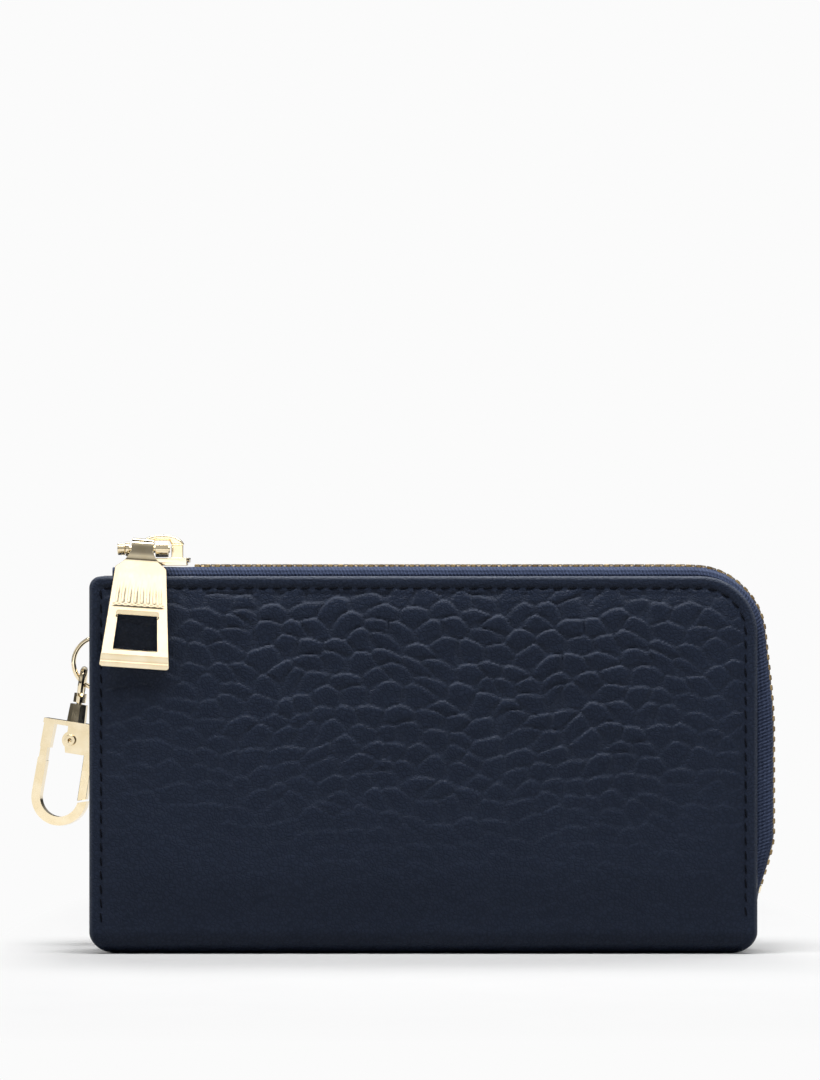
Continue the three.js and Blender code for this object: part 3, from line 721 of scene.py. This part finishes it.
skinPlan = {
    "columns": 372,
    "rows": 236,
    "crowding": 0.26,
    "innerShare": 4,
    "crown": 1.25,
    "crownReach": 8.0,
    "groove": 0.32,
    "grooveWidth": 0.55,
    "edgeRound": 0.85,
    "grainFrom": (2.6, 3.9),
    "leastGrain": 0.1,
    "grainRises": ((20, 56, 0.52), (50, 84, 0.38)),
    "flankAt": (28, 66),
    "flankLoss": 0.42,
    "flankMiddle": 6,
}


def skinDisplacement(x, run, z, seed):
    # how far out the skin stands, then the masks painted on it: painted shade in the pebble creases, where
    # the edge paint goes, and the painted highlight on the pebbles' rims
    plan = skinPlan
    inset = edgeDistance(x, z)
    stitchLine = wallet["stitchInset"]
    inside = np.maximum(inset - stitchLine - 0.4, 0)
    crown = plan["crown"] * (1 - np.exp(-inside / (plan["crownReach"] / 3))) * smoothstep(9, 26, run)
    groove = plan["groove"] * np.exp(-(((inset - stitchLine) / plan["grooveWidth"]) ** 2))
    roundness = np.clip(1 - inset / plan["edgeRound"], 0, 1)
    roll = plan["edgeRound"] * (1 - np.sqrt(1 - roundness**2 * 0.98))
    middle = 1 - plan["flankLoss"] * smoothstep(*plan["flankAt"], np.abs(x - plan["flankMiddle"]))
    higher = plan["leastGrain"]
    for low, high, share in plan["grainRises"]:
        higher = higher + share * smoothstep(low, high, run)
    amount = smoothstep(*plan["grainFrom"], inset) * higher * middle
    amount *= 0.85 + 0.15 * np.sin(x / 31.0 + 0.6) * np.sin(run / 23.0)
    pebble, rimHighlight = pebbleHeight(x, run, seed)
    grain = grainPlan["depth"] * amount * (pebble - 1)
    # painted shade: darker down in the pebble creases, scaled by amount, so strongest high on the face
    shade = 1 - amount * (1 - np.clip(pebble * 1.4, 0, 1))
    return crown - groove - roll + grain, shade, np.clip(roundness * 1.6, 0, 1), amount * rimHighlight


def makeSkin(name, side, seed):
    foldY = wallet["halfDepth"] - wallet["foldRadius"]
    faceRun = wallet["top"] - wallet["foldRadius"]
    length = foldY + wallet["foldRadius"] * math.pi / 2 + faceRun
    columns = closeAtEnds(1.0, skinPlan["columns"], ("start", "end"), 1.1 / (2 * wallet["halfWidth"]))
    rows = closeAtEnds(length, skinPlan["rows"], ("end",))
    rows = rows + skinPlan["crowding"] * rows * (length - rows) / length
    shades = {}

    def spread(u, v, low):
        run = lineUp(rows, v)
        y, z = profileAt(run, side, low)
        left, right = rowEnds(profileAt(run, side)[1])
        return run, left + lineUp(columns, u) * (right - left), y, z

    def outer(u, v):
        run, x, y, z = spread(u, v, 0.0)
        out, shades["pebble"], shades["edge"], shades["rimHighlight"] = skinDisplacement(x, run, z, seed)
        foldTurn = np.clip((run - foldY) / wallet["foldRadius"], 0, math.pi / 2)
        return x, y + side * out * np.sin(foldTurn), z - out * np.cos(foldTurn)

    def inner(u, v):
        run, x, y, z = spread(u, v, -wallet["leather"])
        return x, np.where(run > foldY, y, side * run), z

    outerSheet = shapedGrid(name, skinPlan["columns"], skinPlan["rows"], outer)
    for shade, values in shades.items():
        setAttribute(outerSheet, shade, values)
    share = skinPlan["innerShare"]
    innerSheet = shapedGrid(name + "Inside", skinPlan["columns"] // share, skinPlan["rows"] // share, inner)
    for shade, value in (("pebble", 1.0), ("edge", 0.0), ("rimHighlight", 0.0)):
        setAttribute(innerSheet, shade, np.full(len(innerSheet.data.vertices), value))
    skin = joinPieces(name, [outerSheet, innerSheet])
    makeActive(skin)
    setMode("EDIT")
    bpy.ops.mesh.select_mode(type="EDGE")
    bpy.ops.mesh.select_all(action="DESELECT")
    bpy.ops.mesh.select_non_manifold(extend=False, use_wire=False, use_boundary=True, use_multi_face=False,
                                     use_non_contiguous=False, use_verts=False)
    bpy.ops.mesh.bridge_edge_loops()
    bpy.ops.mesh.select_all(action="SELECT")
    bpy.ops.mesh.normals_make_consistent(inside=False)
    setMode("OBJECT")
    smoothByAngle(skin, 60)
    return skin


frontSkin = makeSkin("frontLeather", -1, grainPlan["seed"])
finishPiece(frontSkin, leatherMaterial, stands=("front_panel",))
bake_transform(frontSkin)
backSkin = makeSkin("backLeather", 1, grainPlan["seed"] + 5)
finishPiece(backSkin, leatherMaterial, "shell", ("back_panel",))
print("leather skins made")


# seams


def insetOutline(inset, low):
    # points every tenth of a millimetre, a fixed inset from the left, top and right edges
    side = wallet["halfWidth"] - inset
    top = wallet["top"] - inset
    centreX = wallet["halfWidth"] - wallet["zipCorner"]
    centreZ = wallet["top"] - wallet["zipCorner"]
    radius = wallet["zipCorner"] - inset
    turn = np.linspace(math.pi / 2, 0, 150)
    up = np.arange(low, top, 0.1)
    along = np.arange(-side, centreX, 0.1)
    down = np.arange(centreZ, low, -0.1)
    left, right = np.full(len(up), -side), np.full(len(down), side)
    x = np.concatenate([left, along, centreX + radius * np.cos(turn), right])
    z = np.concatenate([up, np.full(len(along), top), centreZ + radius * np.sin(turn), down])
    return x, z


def spacedAlong(points, pitch, start=0.0):
    steps = np.linalg.norm(np.diff(points, axis=0), axis=1)
    run = np.concatenate([[0], np.cumsum(steps)])
    places = np.arange(start, run[-1], pitch)

    def pointsAt(where):
        return np.column_stack([np.interp(where, run, points[:, k]) for k in range(3)])

    travel = pointsAt(places + 0.3) - pointsAt(places - 0.3)
    return pointsAt(places), travel / np.linalg.norm(travel, axis=1)[:, None]


panelStitch = {"pitch": 2.95, "length": 2.1, "width": 0.42, "height": 0.36, "slant": 7.0, "start": 1.5}
pocketStitch = {"pitch": 2.6, "length": 2.0, "width": 0.3, "height": 0.22, "slant": 7.0, "start": 1.5}
slotStitch = {**pocketStitch, "height": 0.2}
ringTabStitch = {"pitch": 1.35, "length": 1.1, "width": 0.28, "height": 0.2, "slant": 4.0, "start": 0.3}
stitchDip = 0.16


def makeStitch(plan):
    # one short length of thread, fat in the middle, its ends pulled down into the holes
    deselectAll()
    bpy.ops.mesh.primitive_uv_sphere_add(segments=10, ring_count=6, radius=0.5, location=(0, 0, 0),
                                         rotation=(0, math.pi / 2, 0))
    stitch = nameIt("stitchModel")
    bpy.ops.object.transform_apply(location=False, rotation=True, scale=False)
    points = readPoints(stitch)
    reach = np.sign(points[:, 0]) * np.abs(points[:, 0] * 2) ** 0.72 / 2
    points[:, 0] = reach * plan["length"]
    points[:, 1] *= plan["width"]
    points[:, 2] = points[:, 2] * plan["height"] - stitchDip * (2 * reach) ** 4
    writePoints(stitch, points * mm)
    bpy.ops.object.shade_smooth()
    return stitch


def sewAlong(name, points, outward, plan):
    # points and outward in millimetres; each stitch is its own copy, joined into one seam
    stitch = makeStitch(plan)
    out = Vector(outward).normalized()
    slanted = Matrix.Rotation(math.radians(plan["slant"]), 3, out)
    copies = []
    for place, travel in zip(*spacedAlong(points, plan["pitch"], plan["start"])):
        ahead = slanted @ (Vector(travel) - out * Vector(travel).dot(out)).normalized()
        copies.append(placedCopy(stitch, place, (ahead, out.cross(ahead), out)))
    removePiece(stitch)
    return joinPieces(name, copies)


def makePanelSeam(name, side, body):
    x, z = insetOutline(wallet["stitchInset"], 6.2)
    radius = wallet["foldRadius"]
    run = z - radius + wallet["halfDepth"] - radius + radius * math.pi / 2
    out = skinDisplacement(x, run, z, grainPlan["seed"])[0]
    y = side * (wallet["halfDepth"] + out + 0.10)
    seam = sewAlong(name, np.column_stack([x, y, z]), (0, side, 0), panelStitch)
    finishPiece(seam, threadMaterial, body)


makePanelSeam("frontSeam", -1, "front")
makePanelSeam("backSeam", 1, "shell")
print("panel seams sewn")


# the zip: its run starts at the top left and ends low on the right side

zipPlan = {
    "topLift": 1.6,
    "cornerLift": 0.9,
    "sideLift": 3.2,
    "endLift": -0.2,
    "tapeStart": 4.8,
    "tapeEnd": 205.0,
    "chainStart": 21.9,
    "chainEnd": 200.0,
    "pitch": 2.16,
    "halfChain": 2.9,
    "tapeY": 6.95,
    "sewn": 8.0,
    "bend": 1.15,
    "cord": 0.5,
    "thickness": 0.46,
}
topRun = 2 * wallet["halfWidth"] - wallet["zipCorner"]
cornerRun = math.pi / 2 * wallet["zipCorner"]


def blendLift(low, high, start, end, t):
    return start + (end - start) * smoothstep(low, high, t)


def chainLift(t):
    # how far the chain stands off the wallet's edge: over the top, the corner, the side and the end
    p = zipPlan
    middle = topRun + cornerRun / 2
    bulge = topRun + cornerRun + 21
    lift = blendLift(topRun - 4, middle, p["topLift"], p["cornerLift"], t)
    lift = np.where(t > middle, blendLift(middle, bulge, p["cornerLift"], p["sideLift"], t), lift)
    return np.where(t > bulge, blendLift(bulge + 21, p["tapeEnd"], p["sideLift"], p["endLift"], t), lift)


def offEdge(t, away):
    # x and z at a distance out from the wallet's edge
    turned = np.clip((t - topRun) / wallet["zipCorner"], 0, math.pi / 2)
    out = math.pi / 2 - turned
    past = np.maximum(t - topRun - cornerRun, 0)
    before = np.minimum(t, topRun)
    x = before - wallet["halfWidth"] + (wallet["zipCorner"] + away) * np.cos(out)
    z = wallet["top"] - wallet["zipCorner"] + (wallet["zipCorner"] + away) * np.sin(out) - past
    return x, z


def tapeSection(s, lift, side):
    # s runs from the sewn edge, up, over a soft bend and in to the teeth
    p = zipPlan
    bend = p["bend"]
    rise = lift - bend + p["sewn"]
    arc = bend * math.pi / 2
    flat = p["tapeY"] - bend - p["halfChain"]
    total = rise + arc + flat
    run = s * total
    turned = np.clip((run - rise) / bend, 0, math.pi / 2)
    away = -p["sewn"] + np.minimum(run, rise) + bend * np.sin(turned)
    y = p["tapeY"] - bend * (1 - np.cos(turned)) - np.maximum(run - rise - arc, 0)
    ripple = 0.07 * np.sin(run * 2.1) * smoothstep(0.5, 0.9, s)
    return away + ripple, side * y


def makeTape(name, side, body):
    p = zipPlan

    def place(u, v):
        t = p["tapeStart"] + v * (p["tapeEnd"] - p["tapeStart"])
        away, y = tapeSection(u, chainLift(t) + 0.03 * np.sin(t * 0.9), side)
        x, z = offEdge(t, away)
        return x, y, z

    tape = shapedGrid(name, 22, 260, place)
    applyModifier(tape, "SOLIDIFY", thickness=p["thickness"] * mm, offset=0)

    def cordPlace(u, v):
        t = p["chainStart"] + v * (p["chainEnd"] - p["chainStart"])
        radius = p["cord"] * np.sqrt(np.maximum(1 - (2 * v - 1) ** 60, 0))
        angle = u * math.tau
        x, z = offEdge(t, chainLift(t) + radius * np.sin(angle))
        return x, side * (p["halfChain"] - 0.35 + radius * np.cos(angle)), z

    cord = shapedGrid(name + "Cord", 8, 260, cordPlace)
    recalculate(cord)
    recalculate(tape)
    tape = joinPieces(name, [tape, cord])
    smoothByAngle(tape, 50)
    return finishPiece(tape, tapeMaterial, body)


toothPlan = {
    "legs": (1.15, 1.7, 1.75),
    "legsAway": 2.05,
    "steps": ((0.55, 0.72, 0.82), (0.5, 1.0, 0.9), (0.85, 1.25, 1.08), (0.55, 0.6, 0.72)),
    "rounding": 0.14,
}


def makeTooth():
    # two legs pinched on the cord, a waist, and a rounded head that meshes past the middle
    deselectAll()
    bpy.ops.mesh.primitive_cube_add(size=1, location=(0, 0, 0))
    tooth = nameIt("toothModel")
    tooth.data.transform(Matrix.Diagonal((*(side * mm for side in toothPlan["legs"]), 1)))
    tooth.data.transform(Matrix.Translation((0, -toothPlan["legsAway"] * mm, 0)))
    for reach, width, height in toothPlan["steps"]:
        tip = max(tooth.data.polygons, key=lambda face: face.center.y).index
        selectFaces(tooth, lambda face: face.index == tip)
        bpy.ops.mesh.extrude_region_move(TRANSFORM_OT_translate={"value": (0, reach * mm, 0)})
        bpy.ops.transform.resize(value=(width, 1, height))
        setMode("OBJECT")
    roundEdges(tooth, toothPlan["rounding"], 1, 35)
    return tooth


def makeTeeth(name, side, body, offset):
    p = zipPlan
    tooth = makeTooth()
    t = np.arange(p["chainStart"], p["chainEnd"], 0.05)
    x, z = offEdge(t, chainLift(t))
    route = np.column_stack([x, np.zeros(len(t)), z])
    copies = []
    for place, travel in zip(*spacedAlong(route, p["pitch"], 0.6 + offset)):
        ahead = Vector(travel)
        axes = (ahead, Vector((0, -side, 0)), ahead.cross(Vector((0, 1, 0))))
        copies.append(placedCopy(tooth, place, axes))
    removePiece(tooth)
    row = joinPieces(name, copies)
    recalculate(row)
    smoothByAngle(row, 35)
    return finishPiece(row, shadedTeethMaterial, body)


for side, label, body in ((-1, "front", "front"), (1, "back", "shell")):
    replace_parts(makeTape(label + "ZipTape", side, body), label + "_zip_tape")
    teeth = makeTeeth(label + "ZipTeeth", side, body, 0.0 if side < 0 else zipPlan["pitch"] / 2)
    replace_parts(teeth, label + "_teeth")
print("zip made")


# inside: linings, pockets and the folded gussets


def softSheet(name, y, thickness, sides, low, high, sag, seed, columns=70, rows=50):
    # a hanging sheet between the ends sides(z) gives; sag bows and ripples it a little
    random = np.random.default_rng(seed)
    waves = random.uniform(0.6, 1.4, (4, 3))

    def place(u, v):
        z = low + v * (high - low)
        left, right = sides(z)
        x = left + u * (right - left)
        free = np.sin(np.pi * u) * np.sin(np.pi * np.clip(v, 0, 1) * 0.8)
        ripple = sum(np.sin(x / (9 * a) + z / (13 * b) + 6 * c) for a, b, c in waves) / 4
        return x, y + sag * free * (0.6 + 0.4 * ripple), z

    return thicken(shapedGrid(name, columns, rows, place), thickness, thickness * 0.35)


def liningSides(z):
    inset = 2.5
    corner = wallet["zipCorner"] - inset
    right = wallet["halfWidth"] - inset - cornerCut(corner, z - (wallet["top"] - inset - corner))
    return np.full(len(z), -wallet["halfWidth"] + inset + 1.4), right


def pocketSides(middle, halfSpan, top):
    corner = 2.0

    def sides(z):
        cut = cornerCut(corner, z - (top - corner))
        return middle - halfSpan + cut, middle + halfSpan - cut

    return sides


insidePlan = {
    "liningY": 6.3,
    "sheet": 0.46,
    "low": 7,
    "pocket": {"middle": 1, "half": 64, "top": 58, "y": -5.55},
    "slotHalf": 48.0,
    "slotTops": (66.0, 58.0, 50.0, 42.0),
    "slotY": 5.55,
    "slotStep": 0.75,
}


def sewHem(name, ends, y, z, stitch, body):
    # a straight seam on the side of a sheet that faces the middle of the wallet
    inward = 1 if y < 0 else -1
    hem = np.column_stack([np.linspace(*ends, 400), np.full(400, y + inward * 0.28), np.full(400, z)])
    finishPiece(sewAlong(name, hem, (0, inward, 0), stitch), threadMaterial, body)


def makeInside():
    p = insidePlan
    sheet, low = p["sheet"], p["low"]
    for side, label, body in ((-1, "front", "front"), (1, "back", "shell")):
        lining = softSheet(label + "Lining", side * p["liningY"], sheet, liningSides, 6.1,
                           wallet["top"] - 2.6, 0.04, 21 + side, 90, 60)
        finishPiece(lining, liningMaterial, body, (label + "_lining",))
    middle, half, top, y = p["pocket"].values()
    pocket = softSheet("frontSlipPocket", y, sheet, pocketSides(middle, half, top), low, top, 0.12, 31)
    finishPiece(pocket, liningMaterial, "front", ("front_slip_pocket",))
    ends = (middle - half + 2, middle + half - 2)
    sewHem("slipPocketSeam", ends, y, top - 1.4, pocketStitch, "front")
    half = p["slotHalf"]
    for row, top in enumerate(p["slotTops"]):
        y = p["slotY"] - row * p["slotStep"]
        sides = pocketSides(0, half, top)
        slot = softSheet(f"cardSlot{row + 1}", y, sheet, sides, low, top, -0.06, 41 + row)
        finishPiece(slot, pocketMaterial, "shell", (f"card_slot_{row + 1}",))
        ends = (2.2 - half, half - 2.2)
        sewHem(f"cardSlotSeam{row + 1}", ends, y, top - 1.6, slotStitch, "shell")


gussetPlan = {
    "leftGusset": {"node": "left_gusset", "side": -1, "fold": 7.6, "top": 75.2, "bow": 0.35, "rows": 60},
    "zipEndGusset": {"node": "zip_end_gusset", "side": 1, "fold": 6.0, "top": 9.3, "bow": 0.15, "rows": 8},
}


def makeGusset(name, node, side, fold, top, bow, rows):
    # one strip folded to a V: sewn to the back and the front, its crease pointing in
    outer = wallet["halfWidth"] - 0.75
    inner = wallet["halfWidth"] - fold
    reach = 6.75
    soft = 0.012  # how round the crease is

    def place(u, v):
        across = 2 * u - 1
        share = (np.sqrt(across**2 + soft) - math.sqrt(soft)) / (math.sqrt(1 + soft) - math.sqrt(soft))
        x = inner + (outer - inner) * share
        bulge = bow * np.sin(np.pi * np.abs(across)) * (0.7 + 0.3 * np.sin(v * 9))
        return side * (x - bulge), reach * across, 6.1 + v * (top - 6.1)

    gusset = thicken(shapedGrid(name, 36, rows, place), 0.85, 0.2)
    finishPiece(gusset, stripMaterial, stands=(node,))
    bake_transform(gusset)


makeInside()
for name, plan in gussetPlan.items():
    makeGusset(name, **plan)
print("inside made")


# the ring tab and the split ring

tabPlan = {
    "left": -70.0,
    "right": -66.4,
    "ringY": 11.9,
    "loopZ": 65.95,
    "loopRadius": 2.2,
    "ply": 0.95,
    "top": 76.2,
    "seamInset": 0.7,
    "seamLow": 71.2,
}


def makeRingTab():
    p = tabPlan
    inner = wallet["halfDepth"] + 0.62
    outer = inner + p["ply"] + 0.05
    around = np.radians(np.linspace(205, 430, 46))
    loopY = p["ringY"] - p["loopRadius"] * np.cos(around - math.pi)
    loopZ = p["loopZ"] - p["loopRadius"] * np.sin(around - math.pi)
    start = np.column_stack([np.full(14, inner), np.linspace(p["top"], loopZ[0] + 1.6, 14)])
    end = np.column_stack([np.full(14, outer), np.linspace(loopZ[-1] + 1.9, p["top"], 14)])
    route = np.vstack([start, np.column_stack([loopY, loopZ]), end])
    smooth = route.copy()
    for _ in range(3):
        smooth[1:-1] = (smooth[:-2] + 2 * smooth[1:-1] + smooth[2:]) / 4
    steps = np.concatenate([[0], np.cumsum(np.linalg.norm(np.diff(smooth, axis=0), axis=1))])
    steps /= steps[-1]

    def place(u, v):
        y = np.interp(v, steps, smooth[:, 0])
        z = np.interp(v, steps, smooth[:, 1])
        return p["left"] + 0.05 + u * (p["right"] - p["left"] - 0.1), y, z

    tab = thicken(shapedGrid("ringTab", 10, 120, place), 0.86, 0.22, 3)
    finishPiece(tab, stripMaterial, "shell", ("ring_tab",))
    left, right = p["left"] + p["seamInset"], p["right"] - p["seamInset"]
    low, high = p["seamLow"], p["top"] - 0.8
    corners = [(left, high), (left, low), (right, low), (right, high), (left, high)]
    x, z = np.vstack([np.linspace(a, b, 40)[:-1] for a, b in zip(corners, corners[1:])]).T
    route = np.column_stack([x, np.full(len(x), outer + 0.5), z])
    seam = sewAlong("ringTabSeam", route, (0, 1, 0), ringTabStitch)
    finishPiece(seam, threadMaterial, "shell")


ringPlan = {
    "x": -69.1,
    "y": 11.9,
    "z": 60.8,
    "radius": 5.5,
    "wide": 0.46,
    "tall": 0.43,
    "turns": 2.0,
    "step": 0.46,
    "flatness": 0.72,
}


def makeSplitRing():
    # one length of flat wire wound twice, crossing from one coil to the other at the back
    p = ringPlan

    def place(u, v):
        angle = u * math.tau
        turn = v * math.tau * p["turns"] + math.radians(70)
        cap = np.sqrt(np.maximum(1 - (2 * v - 1) ** 80, 0))
        wide = p["wide"] * cap * np.sign(np.cos(angle)) * np.abs(np.cos(angle)) ** p["flatness"]
        tall = p["tall"] * cap * np.sign(np.sin(angle)) * np.abs(np.sin(angle)) ** p["flatness"]
        radius = p["radius"] + wide
        side = -p["step"] + 2 * p["step"] * smoothstep(0.44, 0.56, v)
        return p["x"] + radius * np.cos(turn), p["y"] + side + tall, p["z"] + radius * np.sin(turn)

    ring = shapedGrid("splitRing", 16, 200, place)
    recalculate(ring)
    smoothByAngle(ring, 60)
    finishPiece(ring, goldMaterial, "ring", ("split_ring",))


makeRingTab()
makeSplitRing()
print("ring tab and split ring made")


# metal parts: each takes the frame's own shape and gets its rounded edges


def refine(node, name, width, segments=3, material=goldMaterial):
    source = nodes[node]
    piece = bpy.data.objects.new(name, source.data.copy())
    piece.data.name = name
    addToScene(piece)
    makeActive(piece)
    setMode("EDIT")
    bpy.ops.mesh.select_all(action="SELECT")
    bpy.ops.mesh.remove_doubles(threshold=2e-6)
    bpy.ops.mesh.dissolve_limited(angle_limit=math.radians(2))
    bpy.ops.mesh.normals_make_consistent(inside=False)
    setMode("OBJECT")
    roundEdges(piece, width, segments, 28, use_clamp_overlap=True)
    smoothByAngle(piece, 40)
    applyModifier(piece, "WEIGHTED_NORMAL", keep_sharp=True)
    finishPiece(piece, material, bodyOf[node], (node,))


hardware = {
    "slider_body": ("sliderBody", 0.16),
    "slider_crown": ("sliderCrown", 0.34),
    "pull_link": ("pullLink", 0.22),
    "pull_pin": ("pullPin", 0.2),
    "swivel_eye": ("swivelEye", 0.12),
    "hook_body": ("hookBody", 0.36),
    "gate_pin": ("gatePin", 0.12),
    "gate_lever": ("gateLever", 0.3),
    "back_top_stop": ("backTopStop", 0.3),
    "front_top_stop": ("frontTopStop", 0.3),
    "zip_bottom_stop": ("zipBottomStop", 0.3),
}
bodies = frame["record"]["behaviour"]["bodies"]
bodyOf = {node: body for body, members in bodies.items() for node in members}
for node, (name, width) in hardware.items():
    refine(node, name, width)
refine("gate_spring", "gateSpring", 0.06, 2, steelMaterial)
print("metal parts made")


# the pull tab: a flared plate with a strap slot, rolled on a barrel round its pin

pullPlan = {
    "pin": (-58.9, -8.9, 85.1),
    "tilt": 4.0,
    "thickness": 1.8,
    "middleY": -2.8,
    "low": -25.0,
    "high": 1.0,
    "lowHalf": 7.3,
    "shoulderHalf": 5.35,
    "shoulder": -3.9,
    "neck": -0.6,
    "neckHalf": 2.3,
    "slotLow": -21.2,
    "slotHigh": -13.9,
    "slotLowHalf": 4.65,
    "slotHighHalf": 4.1,
    "barrel": 2.2,
    "columns": (10, 36, 10),
    "rows": (16, 30, 60),
    "rounding": 0.26,
    "flutes": 9,
    "fluteDepth": 0.07,
    "band": {"z": -11.9, "depth": 0.05, "width": 0.16},
    "slopes": ((-23.5, -22.5, 0.32), (-25.0, -24.2, 0.3)),
    "lip": 0.34,
    "barrelWall": 0.95,
    "barrelDish": 0.7,
}


def tabHalfWidth(z):
    p = pullPlan
    flare = np.interp(z, (p["low"] + 0.4, p["shoulder"]), (p["lowHalf"], p["shoulderHalf"]))
    climb = np.clip((z - p["shoulder"]) / (p["neck"] - p["shoulder"]), 0, 1)
    curve = (1 - climb) ** 2 * p["shoulderHalf"] + 2 * climb * (1 - climb) * 2.75 + climb**2 * p["neckHalf"]
    return np.where(z > p["shoulder"], curve, flare) - cornerCut(0.5, p["low"] + 0.5 - z)


def slotHalfWidth(z):
    p = pullPlan
    return np.interp(z, (p["slotLow"], p["slotHigh"]), (p["slotLowHalf"], p["slotHighHalf"]))


def pressedIn(x, y, z):
    # how far the details on the tab's front are pressed back from its face
    p = pullPlan
    half = tabHalfWidth(z)
    across = np.abs(x) / half
    fluted = smoothstep(-12.0, -11.2, z) * (1 - smoothstep(-9.4, -5.0, z))
    fluted *= 1 - smoothstep(0.72, 0.88, across)
    flutes = p["fluteDepth"] * (0.5 - 0.5 * np.cos(math.tau * p["flutes"] * x / (2 * half)))
    band = p["band"]["depth"] * np.exp(-(((z - p["band"]["z"]) / p["band"]["width"]) ** 2))
    band *= 1 - smoothstep(0.8, 0.93, across)
    slope = sum(depth * (1 - smoothstep(low, high, z)) for low, high, depth in p["slopes"])
    lip = p["lip"] * (1 - smoothstep(0.0, 0.7, z - p["slotHigh"])) * (1 - smoothstep(4.0, 4.4, np.abs(x)))
    lip = np.where(z > p["slotHigh"] - 0.3, lip, 0)
    return smoothstep(-0.5, -0.85, y - p["middleY"]) * (fluted * flutes + band + slope + lip)


def makePullTab():
    p = pullPlan
    left, slot, right = np.array(p["columns"]) / sum(p["columns"])
    bottom, hole, top = np.array(p["rows"]) / sum(p["rows"])

    def place(u, v):
        z = np.interp(v, (0, bottom, bottom + hole, 1), (p["low"], p["slotLow"], p["slotHigh"], p["high"]))
        half = tabHalfWidth(z)
        slotHalf = np.minimum(slotHalfWidth(z), half * 0.8)
        outer = np.where(u < 0.5, -half, half)
        inner = np.where(u < 0.5, -slotHalf, slotHalf)
        middle = (u - left) / slot
        fromEdge = np.where(u < 0.5, u / left, (1 - u) / right)
        x = np.where((u > left) & (u < left + slot), slotHalf * (2 * middle - 1),
                     outer + (inner - outer) * np.clip(fromEdge, 0, 1))
        y = p["middleY"] + 1.35 * smoothstep(-2.4, 1.6, z)
        return x, y, z

    tab = shapedGrid("pullTab", sum(p["columns"]), sum(p["rows"]), place)

    def inSlot(face):
        x, z = face.center.x / mm, face.center.z / mm
        return p["slotLow"] < z < p["slotHigh"] and abs(x) < slotHalfWidth(z)

    selectFaces(tab, inSlot)
    bpy.ops.mesh.delete(type="FACE")
    setMode("OBJECT")
    applyModifier(tab, "SOLIDIFY", thickness=p["thickness"] * mm, offset=0)
    recalculate(tab)
    roundEdges(tab, p["rounding"], 3)
    points = readPoints(tab) / mm
    points[:, 1] += pressedIn(*points.T)
    writePoints(tab, points * mm)
    deselectAll()
    bpy.ops.mesh.primitive_cylinder_add(vertices=40, radius=p["barrel"] * mm, depth=2 * p["neckHalf"] * mm,
                                        location=(0, 0, 0), rotation=(0, math.pi / 2, 0))
    barrel = nameIt("pullBarrel")
    bpy.ops.object.transform_apply(location=False, rotation=True, scale=False)
    selectFaces(barrel, lambda face: abs(face.normal.x) > 0.9)
    bpy.ops.mesh.inset(thickness=p["barrelWall"] * mm, use_individual=True)
    bpy.ops.mesh.extrude_region_shrink_fatten(TRANSFORM_OT_shrink_fatten={"value": -p["barrelDish"] * mm})
    setMode("OBJECT")
    roundEdges(barrel, 0.16, 2, 40)
    tab = joinPieces("pullTab", [tab, barrel])
    smoothByAngle(tab, 42)
    hang = Matrix.Translation(Vector(p["pin"]) * mm) @ Matrix.Rotation(math.radians(p["tilt"]), 4, "Y")
    tab.data.transform(hang)
    finishPiece(tab, goldMaterial, bodyOf["pull_tab"], ("pull_tab",))


makePullTab()
print("pull tab made")
